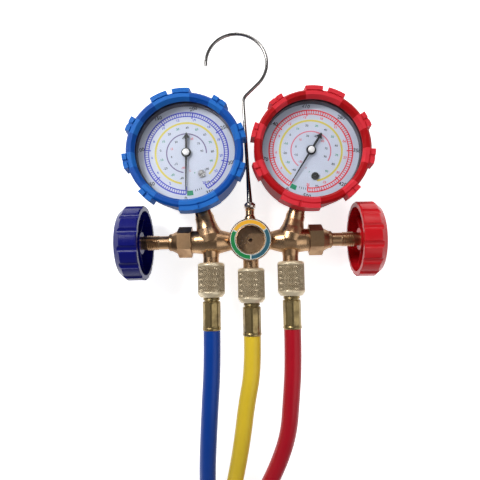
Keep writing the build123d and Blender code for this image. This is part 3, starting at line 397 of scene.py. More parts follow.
class GaugeSetSettings(bpy.types.PropertyGroup):
    low_boot: colour_prop("Low boot", "Rubber of the low side gauge boot", (0.0, 0.075, 0.39))
    # painted highlight: the low lug colour is the lit look of the raised lug faces
    low_lug: colour_prop("Low lugs", "Rubbed lug faces of the low side boot", (0.012, 0.15, 0.55))
    high_boot: colour_prop("High boot", "Rubber of the high side gauge boot",
                           (0.44, 0.001, 0.004))
    # painted highlight: the high lug colour is the lit look of the raised lug faces
    high_lug: colour_prop("High lugs", "Rubbed lug faces of the high side boot",
                          (0.72, 0.03, 0.045))
    low_knob: colour_prop("Low hand wheel", "Plastic of the low side wheel", (0.004, 0.006, 0.15))
    high_knob: colour_prop("High hand wheel", "Plastic of the high side wheel",
                           (0.62, 0.010, 0.016))
    low_hose: colour_prop("Low hose", "Cover of the low side hose", (0.001, 0.048, 0.31))
    service_hose: colour_prop("Service hose", "Cover of the middle hose", (0.80, 0.56, 0.03))
    high_hose: colour_prop("High hose", "Cover of the high side hose", (0.45, 0.004, 0.016))
    brass: colour_prop("Brass", "Forged body and valves", (0.56, 0.35, 0.19))
    tarnish: colour_prop("Tarnish", "Dull patches of the brass", (0.22, 0.115, 0.055))
    nut_brass: colour_prop("Nut brass", "Knurled hose nuts", (0.84, 0.72, 0.50))
    dial_paper: colour_prop("Dial", "Printed white of the dials", (0.44, 0.48, 0.58))
    knurl_count: IntProperty(name="Knurl count", description="Knurl ridges round a hose nut",
                             default=44, min=12, max=90)
    knurl_depth: FloatProperty(name="Knurl depth", description="Depth of the knurl, in mm",
                               default=0.55, min=0.0, max=1.0)
    hose_diameter: FloatProperty(name="Hose diameter", description="Outer diameter of a hose",
                                 subtype="DISTANCE", unit="LENGTH", default=0.0112, min=0.006,
                                 max=0.02)
    camera_height: FloatProperty(name="Camera height", description="Lens above the table",
                                 subtype="DISTANCE", unit="LENGTH", default=0.305, min=0.1,
                                 max=2.0)
    lens: FloatProperty(name="Lens", description="Focal length of the camera, in mm",
                        default=31.35, min=10.0, max=200.0)
    key_power: FloatProperty(name="Key light", description="Power of the main lamp", default=4.3,
                             min=0.0, max=100.0)


# ------------------------------------------------------------------------------ stage
FLOOR_HALF = 3.0
FLOOR_GLOW = 0.78  # what the floor adds for rays that see it, so that it stays white
SKY_LOW, SKY_MIDDLE, SKY_TOP = (0.62, 0.62, 0.64, 1), (0.34, 0.34, 0.36, 1), (0.07, 0.07, 0.08, 1)
SKY_MIDDLE_AT = 0.45
SKY_STRENGTH = 0.85
LAMPS = (
    # name, place, width, share of the key light's power
    ("key", (-0.42, 0.34, 0.62), 0.34, 1.0),
    ("fill", (0.60, -0.35, 0.75), 0.9, 0.55),
    ("rim", (0.15, 0.75, 0.45), 0.4, 0.35),
)
LAMPS_AIM = Vector((0.0, -0.03, 0.0))
CAMERA_X = -0.0003
CAMERA_PAST_VALVES = 0.0007
CAMERA_TURN = -1.15  # degrees
CAMERA_SHIFT = -10.0 / 480.0


class GAUGESET_OT_stage(bpy.types.Operator):
    """Lays the pale floor, the lamps and the camera over the set"""
    bl_idname = "gaugeset.stage"
    bl_label = "Stage"

    def execute(self, context):
        size = settings()
        scene = context.scene
        scene.view_settings.view_transform = "Standard"
        half = FLOOR_HALF
        floor = mesh_object("floor", [(-half, -half, 0), (half, -half, 0), (half, half, 0),
                                      (-half, half, 0)], [(0, 1, 2, 3)])
        made = Finish("floor_white")
        made.set(Base_Color=(0.86, 0.86, 0.86, 1.0), Roughness=0.9, Specular_IOR_Level=0.1)
        path = made.nodes.new("ShaderNodeLightPath")
        seen = path.outputs["Is Camera Ray"]
        for ray in ("Is Glossy Ray", "Is Transmission Ray"):
            seen = math_node(made.tree, "MAXIMUM", seen, path.outputs[ray])
        made.set(Emission_Color=(1.0, 1.0, 1.0, 1.0))
        made.feed(math_node(made.tree, "MULTIPLY", seen, FLOOR_GLOW), "Emission Strength")
        floor.data.materials.append(made.material)

        world = bpy.data.worlds.new("studio")
        scene.world = world
        world.use_nodes = True
        nodes, links = world.node_tree.nodes, world.node_tree.links
        sky = nodes["Background"]
        coords = nodes.new("ShaderNodeTexCoord")
        split = nodes.new("ShaderNodeSeparateXYZ")
        ramp = nodes.new("ShaderNodeValToRGB")
        links.new(coords.outputs["Generated"], split.inputs[0])
        links.new(split.outputs[2], ramp.inputs[0])
        links.new(ramp.outputs[0], sky.inputs[0])
        stops = ramp.color_ramp.elements
        stops[0].position, stops[0].color = 0.0, SKY_LOW
        stops[1].position, stops[1].color = 1.0, SKY_TOP
        middle = stops.new(SKY_MIDDLE_AT)
        middle.color = SKY_MIDDLE
        sky.inputs[1].default_value = SKY_STRENGTH

        for name, where, wide, share in LAMPS:
            light = bpy.data.lights.new(name, "AREA")
            light.shape = "DISK"
            light.size = wide
            light.energy = size.key_power * share
            lamp = new_object(name, light)
            lamp.location = where
            aim = LAMPS_AIM - Vector(where)
            lamp.rotation_euler = aim.to_track_quat("-Z", "Y").to_euler()

        lens = bpy.data.cameras.new("camera")
        lens.lens = size.lens
        lens.sensor_width = 36.0
        lens.shift_x = CAMERA_SHIFT
        lens.clip_start = 0.01
        camera = new_object("camera", lens)
        seat = JOINTS["low_valve_turn"]["pos_m"]
        camera.location = (CAMERA_X, seat[1] + CAMERA_PAST_VALVES, size.camera_height)
        camera.rotation_euler = (0.0, 0.0, radians(CAMERA_TURN))
        scene.camera = camera
        return {"FINISHED"}


# ------------------------------------------------------------------------------ hoses
# The points that each hose's line follows, in metres: out of its ferrule, down to the table
# and into the coil.
HOSE_POINTS = {
    "low": [(-0.0265, -0.099964, 0.030125), (-0.0265, -0.12188, 0.032056),
            (-0.0284, -0.147, 0.0316), (-0.0302, -0.170, 0.0286), (-0.0320, -0.194, 0.0228),
            (-0.0330, -0.218, 0.0154), (-0.0334, -0.241, 0.0084), (-0.0330, -0.262, 0.0056)],
    "service": [(0.0, -0.103949, 0.030476), (0.0, -0.125864, 0.032407),
                (-0.0046, -0.148, 0.0319), (-0.0076, -0.171, 0.0289),
                (-0.0116, -0.1945, 0.0229), (-0.0164, -0.218, 0.0154),
                (-0.0202, -0.241, 0.0084), (-0.0215, -0.262, 0.0056)],
    "high": [(0.0265, -0.099964, 0.030125), (0.0265, -0.12188, 0.032056),
             (0.0246, -0.147, 0.0314), (0.0228, -0.170, 0.0284), (0.0156, -0.194, 0.0226),
             (0.0054, -0.218, 0.0154), (-0.0046, -0.241, 0.0084), (-0.0100, -0.262, 0.0056)],
}
STRAIGHT_IN = (-0.280, -0.305)
COIL_MIDDLE = Vector((0.048, -0.331, 0.0))
LANE = {"low": 0.081, "service": 0.0695, "high": 0.058}
COIL_START = 180.0
COIL_STOP = {"low": 630.0, "service": 664.0, "high": 702.0}
TURN_STEP = 15.0  # degrees between points round the coil
CLIMB = (415.0, 485.0)  # degrees over which a hose climbs on to its first turn
END_CLIMB = (45.0, 10.0)  # degrees before the free end
END_HEIGHT = 0.0205
END_DRIFT = 0.0015
TIES = {"coil_tie_near": (222.0, 0.0236), "coil_tie_far": (28.0, 0.0124)}
TIE_WIDTH = 0.007
TIE_THICK = 0.0007


def coil_way(angle):
    """Outwards from the middle of the coil, at degrees round it."""
    return Vector((cos(radians(angle)), sin(radians(angle)), 0.0))


def eased(value, start, stop):
    """0 before the start, 1 after the stop, and smooth between."""
    part = min(1.0, max(0.0, (value - start) / (stop - start)))
    return part * part * (3 - 2 * part)


def coil_points(name):
    """One turn on the table, a climb over the hose's own way in, and some more on top."""
    stop = COIL_STOP[name]
    across = settings().hose_diameter
    count = round((stop - COIL_START) / TURN_STEP)
    step = (stop - COIL_START) / count
    points = []
    for k in range(count):
        angle = COIL_START + step * (k + 0.5)
        last = eased(angle, stop - END_CLIMB[0], stop - END_CLIMB[1])
        height = across / 2 + across * eased(angle, *CLIMB)
        height += (END_HEIGHT - height) * last
        # the spline touches the middle of each side of its points' outline
        reach = (LANE[name] + END_DRIFT * last) / cos(radians(step / 2))
        points.append(COIL_MIDDLE + coil_way(angle) * reach + UP * height)
    reach = LANE[name] + END_DRIFT
    points.append(COIL_MIDDLE + coil_way(stop) * reach + UP * END_HEIGHT)
    return points


def hose_curve(name):
    """The hose's own line as one smooth spline."""
    points = [Vector(p) for p in HOSE_POINTS[name]]
    for y in STRAIGHT_IN:
        points.append(Vector((COIL_MIDDLE.x - LANE[name], y, settings().hose_diameter / 2)))
    points += coil_points(name)
    curve = bpy.data.curves.new(f"{name}_hose", "CURVE")
    curve.dimensions = "3D"
    curve.resolution_u = 10
    spline = curve.splines.new("NURBS")
    spline.points.add(len(points) - 1)
    for made, point in zip(spline.points, points):
        made.co = (*point, 1.0)
    spline.order_u = 3
    spline.use_endpoint_u = True
    return curve


def tie_mesh(name, angle, top):
    """A soft strap round the whole bundle, across its width at one angle of the coil."""
    way = coil_way(angle)
    along = Vector((-way.y, way.x, 0.0))
    half = settings().hose_diameter / 2
    inside, outside = LANE["high"] - half - TIE_THICK, LANE["low"] + half + TIE_THICK
    turn = half + TIE_THICK
    corners = [(outside - turn, top - turn, 0), (inside + turn, top - turn, 90),
               (inside + turn, turn, 180), (outside - turn, turn, 270)]
    points, faces, ring = [], [], []
    for reach, height, start in corners:
        for k in range(9):
            bend = radians(start + 90 * k / 8)
            ring.append((reach, height, cos(bend), sin(bend)))
    for reach, height, cs, sn in ring:
        for radius in (turn, turn - TIE_THICK):
            for side in (-0.5, 0.5):
                spot = COIL_MIDDLE + way * (reach + radius * cs) + along * side * TIE_WIDTH
                points.append(spot + UP * (height + radius * sn))
    order = (0, 1, 3, 2)
    for k in range(len(ring)):
        here, there = 4 * k, 4 * ((k + 1) % len(ring))
        for m in range(4):
            one, two = order[m], order[(m + 1) % 4]
            faces.append((here + one, here + two, there + two, there + one))
    tie = mesh_object(name, points, faces)
    sharpen(tie)
    return tie


class GAUGESET_OT_hoses(bpy.types.Operator):
    """Runs the three charging hoses out of their ferrules and into one tied coil"""
    bl_idname = "gaugeset.hoses"
    bl_label = "Charging hoses"

    def execute(self, context):
        size = settings()
        for name in HOSES:
            curve = hose_curve(name)
            curve.bevel_depth = size.hose_diameter / 2
            curve.bevel_resolution = 6
            curve.use_fill_caps = True
            hose = new_object(f"{name}_hose", curve)
            curve.materials.append(finish(f"{name}_hose"))
            if name == "low":
                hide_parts(f"{name}_hose_tube", "hose_coil")
            else:
                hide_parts(f"{name}_hose_tube")
            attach(hose, "manifold")
        for name, (angle, top) in TIES.items():
            tie = tie_mesh(name, angle, top)
            tie.data.materials.append(finish("black_rubber"))
            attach(tie, "manifold")
        return {"FINISHED"}


# ------------------------------------------------------------------------------ hose nuts
# Millimetres from a nut's mouth, and its radii.
KNURL_START, KNURL_STOP = 1.9, 19.6
KNURL_ROWS = 60
KNURL_TOP = 8.98
KNURL_LEAST_R = 8.0  # nothing nearer the axis is knurled
KNURL_PITCH_R = 9.0  # where the two ways of the ridges cross squarely
KNURL_FADE = 0.8
KNURL_EDGE = 1.4  # above 1 the tops are broad and the grooves between them narrow
CUT_THREAD_R, CUT_THREAD_DEPTH = 5.62, 0.22


def nut_place(name, end):
    """Millimetres along a hose nut: Z from its mouth towards the hose."""
    mouth, way = joint_place(f"{name}_{end}_nut_turn")
    return upright(mouth, -way if end == "end" else way, UP)


def knurl(depth, count):
    """Crossed ridges, fading out at the ends of the knurled band."""
    pitch = 2 * pi * KNURL_PITCH_R / count

    def relief(along, angle, radius):
        if radius < KNURL_LEAST_R or not KNURL_START - 0.01 <= along <= KNURL_STOP + 0.01:
            return radius
        one = abs(((angle * count / (2 * pi) + along / pitch) % 1.0) - 0.5) * 2
        two = abs(((angle * count / (2 * pi) - along / pitch) % 1.0) - 0.5) * 2
        fade = min(1.0, (along - KNURL_START) / KNURL_FADE, (KNURL_STOP - along) / KNURL_FADE)
        return radius - depth * max(0.0, fade) * max(one, two) ** KNURL_EDGE
    return relief


def nut_profile():
    """Round a nut's wall: mouth, knurled band, hose end and the thread cut in its mouth."""
    profile = [(0.1, 5.7), (0.0, 6.1), (0.0, 7.3), (0.25, 8.0), (0.9, 8.7), (1.5, 8.96)]
    profile += [(KNURL_START + (KNURL_STOP - KNURL_START) * k / KNURL_ROWS, KNURL_TOP)
                for k in range(KNURL_ROWS + 1)]
    profile += [(20.3, 8.9), (20.9, 8.6), (22.4, 7.5), (22.75, 7.15), (22.8, 6.9),
                (22.8, 4.5), (15.5, 4.5), (15.5, 5.6)]
    profile += [(15.3 - 0.2 * k, CUT_THREAD_R + (CUT_THREAD_DEPTH if k % 6 < 3 else 0.0))
                for k in range(75)]
    return profile


class GAUGESET_OT_hose_nuts(bpy.types.Operator):
    """Turns the six knurled hose nuts, open at the mouth as the flare seat needs"""
    bl_idname = "gaugeset.hose_nuts"
    bl_label = "Knurled hose nuts"

    def execute(self, context):
        size = settings()
        profile = nut_profile()
        ridges = knurl(size.knurl_depth, size.knurl_count)
        for name in HOSES:
            for end in ("hose", "end"):
                place = nut_place(name, end)
                nut = turned_mesh(f"{name}_{end}_nut_knurled", profile, place,
                                  size.knurl_count * 4, ridges)
                nut.data.materials.append(finish("knurled_brass"))
                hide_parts(f"{name}_{end}_nut")
                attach(nut, f"{name}_{end}_nut")
                paint_node(f"{name}_{end}_ferrule", "ferrule_brass")
        paint_node("hose_gaskets", "black_rubber")
        return {"FINISHED"}


# ------------------------------------------------------------------------------ valves
THREAD_STEPS = 40  # to a turn
STEM_THREAD = {"start": 60.6, "stop": 69.4, "radius": 4.47, "depth": 0.42, "pitch": 1.25}


def thread_mesh(name, place, start, stop, radius, depth, pitch):
    """A raised helical thread wound round a rod, along the place's Z."""
    points, faces = [], []
    steps = THREAD_STEPS
    count = int((stop - start) / pitch * steps)
    outline = [(-0.5, -0.03), (-0.12, depth), (0.12, depth), (0.5, -0.03)]
    for k in range(count + 1):
        angle = 2 * pi * k / steps
        base = start + pitch * k / steps
        fade = min(1.0, k / (steps * 0.5), (count - k) / (steps * 0.5))
        for shift, lift in outline:
            r = radius + (lift * fade if lift > 0 else lift)
            along = base + shift * pitch * 0.9
            points.append(place @ Vector((r * cos(angle), r * sin(angle), along)))
    for k in range(count):
        for m in range(3):
            a, b = k * 4 + m, (k + 1) * 4 + m
            faces.append((a, b, b + 1, a + 1))
        faces.append((k * 4 + 3, (k + 1) * 4 + 3, (k + 1) * 4, k * 4))
    faces += [(3, 2, 1, 0), tuple(count * 4 + i for i in range(4))]
    thing = mesh_object(name, points, faces)
    sharpen(thing, 40.0)
    return thing


def valve_place(side):
    """Millimetres along a valve, Z outwards from the middle of the manifold."""
    seat, way = joint_place(f"{side}_valve_turn")
    return upright(Vector((0.0, seat.y, seat.z)), way, UP)


class GAUGESET_OT_valves(bpy.types.Operator):
    """Finishes the forged body, packing nuts and threaded stems"""
    bl_idname = "gaugeset.valves"
    bl_label = "Body and valves"

    def execute(self, context):
        paint_node("manifold_body", "forged_brass")
        paint_node("hook_stud", "turned_brass")
        for side in SIDES:
            place = valve_place(side)
            thread = thread_mesh(f"{side}_stem_thread", place, **STEM_THREAD)
            thread.data.materials.append(finish("stem_brass"))
            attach(thread, f"{side}_wheel")
            paint_node(f"{side}_valve_stem", "stem_brass")
            paint_node(f"{side}_packing_nut", "hex_brass")
            paint_node(f"{side}_packing", "black_rubber")
            paint_node(f"{side}_seat_disc", "seat_plastic")
            paint_node(f"{side}_socket", "turned_brass")
            for piece in ("movement", "pinion", "sector", "link", "bourdon_tube"):
                paint_node(f"{side}_{piece}", "turned_brass")
        return {"FINISHED"}


class GAUGESET_OT_hand_wheels(bpy.types.Operator):
    """Finishes the glossy fluted hand wheels and their screws"""
    bl_idname = "gaugeset.hand_wheels"
    bl_label = "Hand wheels"

    def execute(self, context):
        for side in SIDES:
            paint_node(f"{side}_knob", f"{side}_knob")
            paint_node(f"{side}_knob_screw", "screw_steel")
        return {"FINISHED"}


# ------------------------------------------------------------------------------ gauges
RING_SIDES_PER_DEGREE = 0.5


def flat_ring(inner, outer, start, stop, height):
    """Points and faces of a printed arc, by clockwise angles from straight up."""
    count = max(2, int(abs(stop - start) * RING_SIDES_PER_DEGREE))
    points, faces = [], []
    for k in range(count + 1):
        angle = radians(start + (stop - start) * k / count)
        for r in (inner, outer):
            points.append(Vector((r * sin(angle), r * cos(angle), height)))
    for k in range(count):
        a = k * 2
        faces.append((a, a + 1, a + 3, a + 2))
    return points, faces


def flat_tick(angle, inner, outer, width, height):
    way = Vector((sin(radians(angle)), cos(radians(angle)), 0))
    side = Vector((way.y, -way.x, 0)) * (width / 2)
    points = [way * inner - side, way * inner + side, way * outer + side, way * outer - side]
    return [p + Vector((0, 0, height)) for p in points], [(0, 1, 2, 3)]


def text_mesh(words, size, angle, radius, height):
    """Small flat figures that stand upright on the dial at an angle and radius."""
    font = bpy.data.curves.new("figures", "FONT")
    font.body = words
    font.size = size
    font.align_x = "CENTER"
    font.align_y = "CENTER"
    font.resolution_u = 2
    font.offset = size * 0.022  # bolder
    probe = bpy.data.objects.new("figures", font)
    mesh = bpy.data.meshes.new_from_object(probe)
    at = Vector((radius * sin(radians(angle)), radius * cos(radians(angle)), height))
    points = [at + v.co for v in mesh.vertices]
    faces = [tuple(p.vertices) for p in mesh.polygons]
    bpy.data.objects.remove(probe)
    bpy.data.curves.remove(font)
    bpy.data.meshes.remove(mesh)
    return points, faces


class Print:
    """Flat printed marks gathered by ink, then made into one piece."""

    def __init__(self):
        self.marks = []
        self.inks = []

    def add(self, ink, mark):
        if ink not in self.inks:
            self.inks.append(ink)
        self.marks.append((self.inks.index(ink), mark))

    def build(self, name, place):
        points, faces, owners = [], [], []
        for ink, (mark_points, mark_faces) in self.marks:
            base = len(points)
            points += [place @ p for p in mark_points]
            for face in mark_faces:
                faces.append(tuple(base + i for i in face))
                owners.append(ink)
        mesh = bpy.data.meshes.new(name)
        mesh.from_pydata([tuple(p) for p in points], [], faces)
        for polygon, owner in zip(mesh.polygons, owners):
            polygon.material_index = owner
        thing = new_object(name, mesh)
        for ink in self.inks:
            mesh.materials.append(finish(ink))
        return thing


# Millimetres on the dial, and degrees past its zero mark.
PRINT_HEIGHT = 8.83  # just over the dial's face
SCALE_RINGS = ((27.1, 28.0), (24.6, 25.3))
DIVISIONS, LONG_EVERY, HALF_EVERY = 98, 14, 7
LONG_TICK, HALF_TICK, SHORT_TICK = (23.6, 0.8), (25.2, 0.62), (25.2, 0.46)  # foot, width
TICK_TOP = 27.2
OUTER_FIGURES, SMALL_FIGURES = (3.5, 30.4), (2.3, 22.9)  # size, radius
MIDDLE_FIGURES, INNER_FIGURES = (2.1, 17.2), (2.0, 10.2)
YELLOW_RING, INNER_RING = (19.8, 21.1), (12.7, 13.5)
INNER_RING_STOP, INNER_FIGURES_REACH = 270, 250
UNIT_MARKS = (
    # word, size, angle, radius, ink
    ("kPa", 1.7, 158.0, 24.0, "ink_black"), ("bar", 1.5, 152.0, 27.0, "ink_black"),
    ("F", 1.6, 172.0, 14.4, "ink_green"), ("C", 1.6, 183.0, 12.2, "ink_red_small"),
)
PIN_PROFILE = [(11.2, 0.02), (11.2, 2.16), (12.02, 2.16), (12.3, 1.9), (12.46, 1.3), (12.5, 0.02)]
DIAL = {
    # angles clockwise from straight up in the gauge's own frame
    "low": {"zero": 195.0, "sweep": 329.0, "ink": "ink_blue", "inner": "ink_grey",
            "outer": ["0", "50", "100", "150", "200", "250", "300", "350"],
            "small": ["0", "2", "4", "6", "8", "10", "12", "14", "16", "18", "20", "22", "24"]},
    "high": {"zero": 198.6, "sweep": 334.0, "ink": "ink_red", "inner": "ink_pink",
             "outer": ["0", "70", "140", "210", "280", "350", "420", "500"],
             "small": ["0", "3", "6", "9", "12", "15", "18", "21", "24", "27", "30", "33", "35"]},
}


def figure_row(sheet, words, inks, row, start, reach):
    """Figures spread evenly over degrees of the dial, in a turn of inks."""
    size, radius = row
    for k, word in enumerate(words):
        angle = start + reach * k / (len(words) - 1)
        sheet.add(inks[k % len(inks)], text_mesh(word, size, angle, radius, PRINT_HEIGHT))


def dial_print(side):
    """Arcs, ticks and figures of one dial."""
    kind = DIAL[side]
    zero, sweep, ink = kind["zero"], kind["sweep"], kind["ink"]
    sheet = Print()
    level = PRINT_HEIGHT
    for inner, outer in SCALE_RINGS:
        sheet.add(ink, flat_ring(inner, outer, zero, zero + sweep, level))
    for k in range(DIVISIONS + 1):
        foot, width = (SHORT_TICK if k % HALF_EVERY else
                       HALF_TICK if k % LONG_EVERY else LONG_TICK)
        angle = zero + sweep * k / DIVISIONS
        sheet.add(ink, flat_tick(angle, foot, TICK_TOP, width, level + 0.01))
    figure_row(sheet, kind["outer"], ["ink_black"], OUTER_FIGURES, zero, sweep)
    figure_row(sheet, kind["small"], [ink], SMALL_FIGURES, zero, sweep)
    sheet.add("ink_yellow", flat_ring(*YELLOW_RING, zero + 8, zero + sweep - 16, level))
    figure_row(sheet, [str(n) for n in range(-40, 101, 10)], ["ink_black", "ink_green"],
               MIDDLE_FIGURES, zero + 10, sweep - 30)
    sheet.add(kind["inner"], flat_ring(*INNER_RING, zero + 8, zero + INNER_RING_STOP, level))
    figure_row(sheet, [str(n) for n in range(-30, 91, 15)],
               ["ink_red_small", "ink_black", "ink_black"], INNER_FIGURES, zero + 12,
               INNER_FIGURES_REACH)
    # the coloured block beside the zero mark, and the vacuum scale's small marks
    sheet.add("ink_green", flat_ring(25.3, 28.4, zero - 10, zero - 1.5, level + 0.02))
    for k in range(4):
        sheet.add("ink_black", flat_tick(zero - 14 - 3 * k, 25.0, 26.4, 0.35, level))
    for word, size, angle, radius, mark_ink in UNIT_MARKS:
        sheet.add(mark_ink, text_mesh(word, size, angle, radius, level))
    return sheet


class GAUGESET_OT_gauges(bpy.types.Operator):
    """Finishes the boots, cases and windows, and prints the two dials"""
    bl_idname = "gaugeset.gauges"
    bl_label = "Gauges"

    def execute(self, context):
        for side in SIDES:
            place = gauge_place(side)
            for piece in ("boot", "case", "dial", "needle", "zero_screw"):
                paint_node(f"{side}_{piece}", f"{side}_{piece}")
            paint_node(f"{side}_crystal", "window")
            marks = dial_print(side).build(f"{side}_dial_print", place)
            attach(marks, "manifold")
            pin = turned_mesh(f"{side}_needle_pin", PIN_PROFILE, place, 32)
            pin.data.materials.append(finish("pin_silver"))
            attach(pin, f"{side}_needle")
        return {"FINISHED"}


# ------------------------------------------------------------------------------ sight and hook
class GAUGESET_OT_sight_glass(bpy.types.Operator):
    """Finishes the sight glass, its brass ring and the coloured label round it"""
    bl_idname = "gaugeset.sight_glass"
    bl_label = "Sight glass"

    def execute(self, context):
        paint_node("sight_ring", "sight_ring")
        paint_node("sight_glass", "window")
        paint_node("sight_label", "sight_label")
        return {"FINISHED"}


class GAUGESET_OT_hook(bpy.types.Operator):
    """Finishes the hanging hook and its swivel"""
    bl_idname = "gaugeset.hook"
    bl_label = "Hanging hook"

    def execute(self, context):
        paint_node("hook", "hook_wire")
        paint_node("hook_bead", "bead_metal")
        return {"FINISHED"}


# ------------------------------------------------------------------------------ finishes
INKS = {"ink_black": (0.02, 0.02, 0.025), "ink_blue": (0.03, 0.04, 0.40),
        "ink_red": (0.62, 0.02, 0.03), "ink_yellow": (0.52, 0.44, 0.06),
        "ink_green": (0.0, 0.20, 0.09), "ink_grey": (0.14, 0.11, 0.22),
        "ink_pink": (0.55, 0.13, 0.18), "ink_red_small": (0.5, 0.04, 0.05)}
# Degrees either way from straight ahead: the end lugs, and the middles of those between.
TOP_LUG_TO, FOOT_LUG_FROM = 20.0, 160.0
LUG_MIDDLES = (50.0, 87.0, 126.0)
LUG_HALF = 8.2
LUG_ABOVE = 9.0  # mm
# The label's yellow sector and parting lines in degrees, its printed band in mm.
YELLOW_FROM, YELLOW_TO = -60.0, 57.0
LINE_HALF = 2.0
LABEL_INNER, LABEL_OUTER = 10.15, 12.6
LABEL_YELLOW, LABEL_GREEN = (0.90, 0.45, 0.02, 1), (0.0, 0.22, 0.05, 1)
LABEL_TEAL, LABEL_PALE = (0.015, 0.10, 0.14, 1), (0.62, 0.66, 0.62, 1)


def boot_finish(side):
    """Matt rubber whose raised lug faces carry a painted highlight, paler than the ring between
    them.
    """
    size = settings()
    made = moulded(f"{side}_boot", getattr(size, f"{side}_boot"), 0.5, 2200.0, 0.00010, 0.22)
    around = made.group(tree("place"), **axes_of(gauge_place(side)))
    nt = made.tree
    turned = math_node(nt, "ABSOLUTE", around.outputs["Angle"])
    mask = math_node(nt, "GREATER_THAN", turned, FOOT_LUG_FROM)
    mask = math_node(nt, "MAXIMUM", mask, math_node(nt, "LESS_THAN", turned, TOP_LUG_TO))
    for at in LUG_MIDDLES:
        near = math_node(nt, "COMPARE", turned, at, LUG_HALF)
        mask = math_node(nt, "MAXIMUM", mask, near)
    mask = math_node(nt, "MULTIPLY", mask,
                     math_node(nt, "GREATER_THAN", around.outputs["Height"], LUG_ABOVE))
    shade = made.nodes["Group"]
    # painted highlight: the raised lug faces take the paler lug colour in place of the light that
    # falls on them
    colour = mix_colour(nt, mask, shade.outputs["Colour"], rgba(getattr(size, f"{side}_lug")))
    made.feed(colour, "Base Color")
    made.set(Specular_IOR_Level=0.18)


def label_finish():
    """Three printed sectors round the sight glass, parted by pale lines."""
    made = Finish("sight_label")
    nt = made.tree
    around = made.group(tree("place"), **axes_of(body_place()))
    angle, radius = around.outputs["Angle"], around.outputs["Radius"]
    right = math_node(nt, "GREATER_THAN", angle, 0.0)
    colour = mix_colour(nt, right, LABEL_GREEN, LABEL_TEAL)
    top = math_node(nt, "MULTIPLY", math_node(nt, "GREATER_THAN", angle, YELLOW_FROM),
                    math_node(nt, "LESS_THAN", angle, YELLOW_TO))
    colour = mix_colour(nt, top, colour, LABEL_YELLOW)
    lines = math_node(nt, "COMPARE", angle, YELLOW_FROM, LINE_HALF)
    turned = math_node(nt, "ABSOLUTE", angle)
    for more in (math_node(nt, "COMPARE", angle, YELLOW_TO, LINE_HALF),
                 math_node(nt, "GREATER_THAN", turned, 180.0 - LINE_HALF),
                 math_node(nt, "LESS_THAN", radius, LABEL_INNER),
                 math_node(nt, "GREATER_THAN", radius, LABEL_OUTER)):
        lines = math_node(nt, "MAXIMUM", lines, more)
    grainy = made.group(tree("grain"), Drift=0.12, Grain_scale=1800.0)
    colour = mix_colour(nt, lines, colour, LABEL_PALE)
    made.link(colour, grainy.inputs["Colour"])
    made.feed(grainy.outputs["Colour"], "Base Color")
    made.bump(grainy.outputs["Height"], 0.00004, 0.2)
    made.set(Roughness=0.42, Coat_Weight=0.15)


def spun_finish(name, place, colour, tarnish, pitch):
    """Metal with fine turning rings about the piece's own middle."""
    made = metal(name, colour, tarnish, 0.35, 0.25, 160.0)
    around = made.group(tree("place"), **axes_of(place))
    nt = made.tree
    rings = math_node(nt, "SINE", math_node(nt, "MULTIPLY", around.outputs["Radius"],
                                            2 * pi / pitch))
    made.bump(rings, 0.00003, 0.6)
    made.set(Anisotropic=0.75)


def knurled_finish():
    """Pale plated brass, with painted shade darkening the bottom of the knurl's grooves."""
    size = settings()
    made = metal("knurled_brass", size.nut_brass, (0.50, 0.38, 0.22), 0.35, 0.34)
    groove = made.nodes.new("ShaderNodeAttribute")
    groove.attribute_name = "groove"
    nt = made.tree
    # painted shade: the colour turns dark brown with the depth of the groove, standing in for the
    # shade deep in the knurl
    painted_groove_shade = math_node(nt, "DIVIDE", groove.outputs["Fac"], size.knurl_depth * 0.8, clamp=True)
    worn = made.nodes["Group"]
    made.feed(mix_colour(nt, painted_groove_shade, worn.outputs["Colour"], (0.17, 0.11, 0.05, 1)), "Base Color")
    made.set(Metallic=0.45)


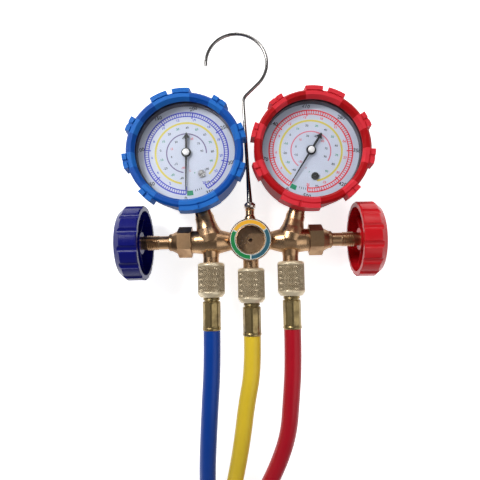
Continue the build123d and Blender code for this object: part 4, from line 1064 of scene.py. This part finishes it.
def make_finishes():
    """Every finish of the set, from the panel's colours."""
    size = settings()
    brass, tarnish = size.brass, size.tarnish
    metal("forged_brass", brass, tarnish, 0.55, 0.27, 120.0, 0.00010, 0.35)
    metal("turned_brass", brass, tarnish, 0.35, 0.24)
    metal("hex_brass", [c * 0.8 for c in brass], tarnish, 0.7, 0.34)
    metal("stem_brass", [c * 0.85 for c in brass], tarnish, 0.5, 0.30)
    knurled_finish()
    metal("ferrule_brass", (0.36, 0.27, 0.12), (0.14, 0.10, 0.05), 0.7, 0.30, 140.0, 0.00008)
    metal("screw_steel", (0.55, 0.55, 0.55), (0.3, 0.28, 0.26), 0.3, 0.3)
    metal("pin_silver", (0.80, 0.80, 0.80), (0.5, 0.5, 0.5), 0.2, 0.3).set(Metallic=0.3)
    # painted reflection: the chrome wire's colour is held dark grey to stand in for the dark
    # surroundings that chrome mirrors
    metal("hook_wire", (0.27, 0.26, 0.25), (0.12, 0.11, 0.10), 0.4, 0.18)
    metal("bead_metal", (0.5, 0.44, 0.40), (0.24, 0.18, 0.14), 0.5, 0.22)
    moulded("black_rubber", (0.02, 0.02, 0.02), 0.6)
    moulded("seat_plastic", (0.7, 0.7, 0.66), 0.4)
    spun_finish("sight_ring", body_place(), (0.52, 0.34, 0.20), tarnish, 0.4)
    label_finish()
    window_finish()
    for side in SIDES:
        boot_finish(side)
        moulded(f"{side}_dial", size.dial_paper, 0.45, 900.0, 0.00002, 0.06)
        metal(f"{side}_case", (0.14, 0.13, 0.15), (0.05, 0.05, 0.06), 0.4, 0.34)
        moulded(f"{side}_needle", (0.012, 0.012, 0.014), 0.4)
        knob = moulded(f"{side}_knob", getattr(size, f"{side}_knob"), 0.26, 1200.0, 0.00003, 0.2,
                       0.1)
        knob.set(Specular_IOR_Level=0.22)
    metal("low_zero_screw", (0.6, 0.6, 0.6), (0.25, 0.25, 0.25), 0.5, 0.25)
    moulded("high_zero_screw", (0.02, 0.02, 0.02), 0.35)
    for name in HOSES:
        hose = moulded(f"{name}_hose", getattr(size, f"{name}_hose"), 0.36, 1500.0, 0.00008,
                       0.16, 0.04)
        hose.set(Specular_IOR_Level=0.25)
    for ink, colour in INKS.items():
        moulded(ink, colour, 0.5, 1500.0, 0.00001, 0.1)


class GAUGESET_OT_finishes(bpy.types.Operator):
    """Makes the rubber, brass, steel, enamel and ink of the set"""
    bl_idname = "gaugeset.finishes"
    bl_label = "Finishes"

    def execute(self, context):
        make_finishes()
        return {"FINISHED"}


class GAUGESET_PT_panel(bpy.types.Panel):
    bl_label = "Gauge set"
    bl_idname = "GAUGESET_PT_panel"
    bl_space_type = "VIEW_3D"
    bl_region_type = "UI"
    bl_category = "Gauge set"

    def draw(self, context):
        layout = self.layout
        for operator in STEPS:
            layout.operator(operator.bl_idname)
        for name in GaugeSetSettings.__annotations__:
            layout.prop(context.scene.gauge_set, name)


STEPS = (
    GAUGESET_OT_stage,
    GAUGESET_OT_finishes,
    GAUGESET_OT_hose_nuts,
    GAUGESET_OT_hoses,
    GAUGESET_OT_valves,
    GAUGESET_OT_hand_wheels,
    GAUGESET_OT_gauges,
    GAUGESET_OT_sight_glass,
    GAUGESET_OT_hook,
)
CLASSES = (GaugeSetSettings, *STEPS, GAUGESET_PT_panel)


def register():
    for cls in CLASSES:
        bpy.utils.register_class(cls)
    bpy.types.Scene.gauge_set = PointerProperty(type=GaugeSetSettings)


def unregister():
    del bpy.types.Scene.gauge_set
    for cls in reversed(CLASSES):
        bpy.utils.unregister_class(cls)


def main():
    register()
    for operator in STEPS:
        group, name = operator.bl_idname.split(".")
        getattr(getattr(bpy.ops, group), name)()


if __name__ == "__main__":
    main()
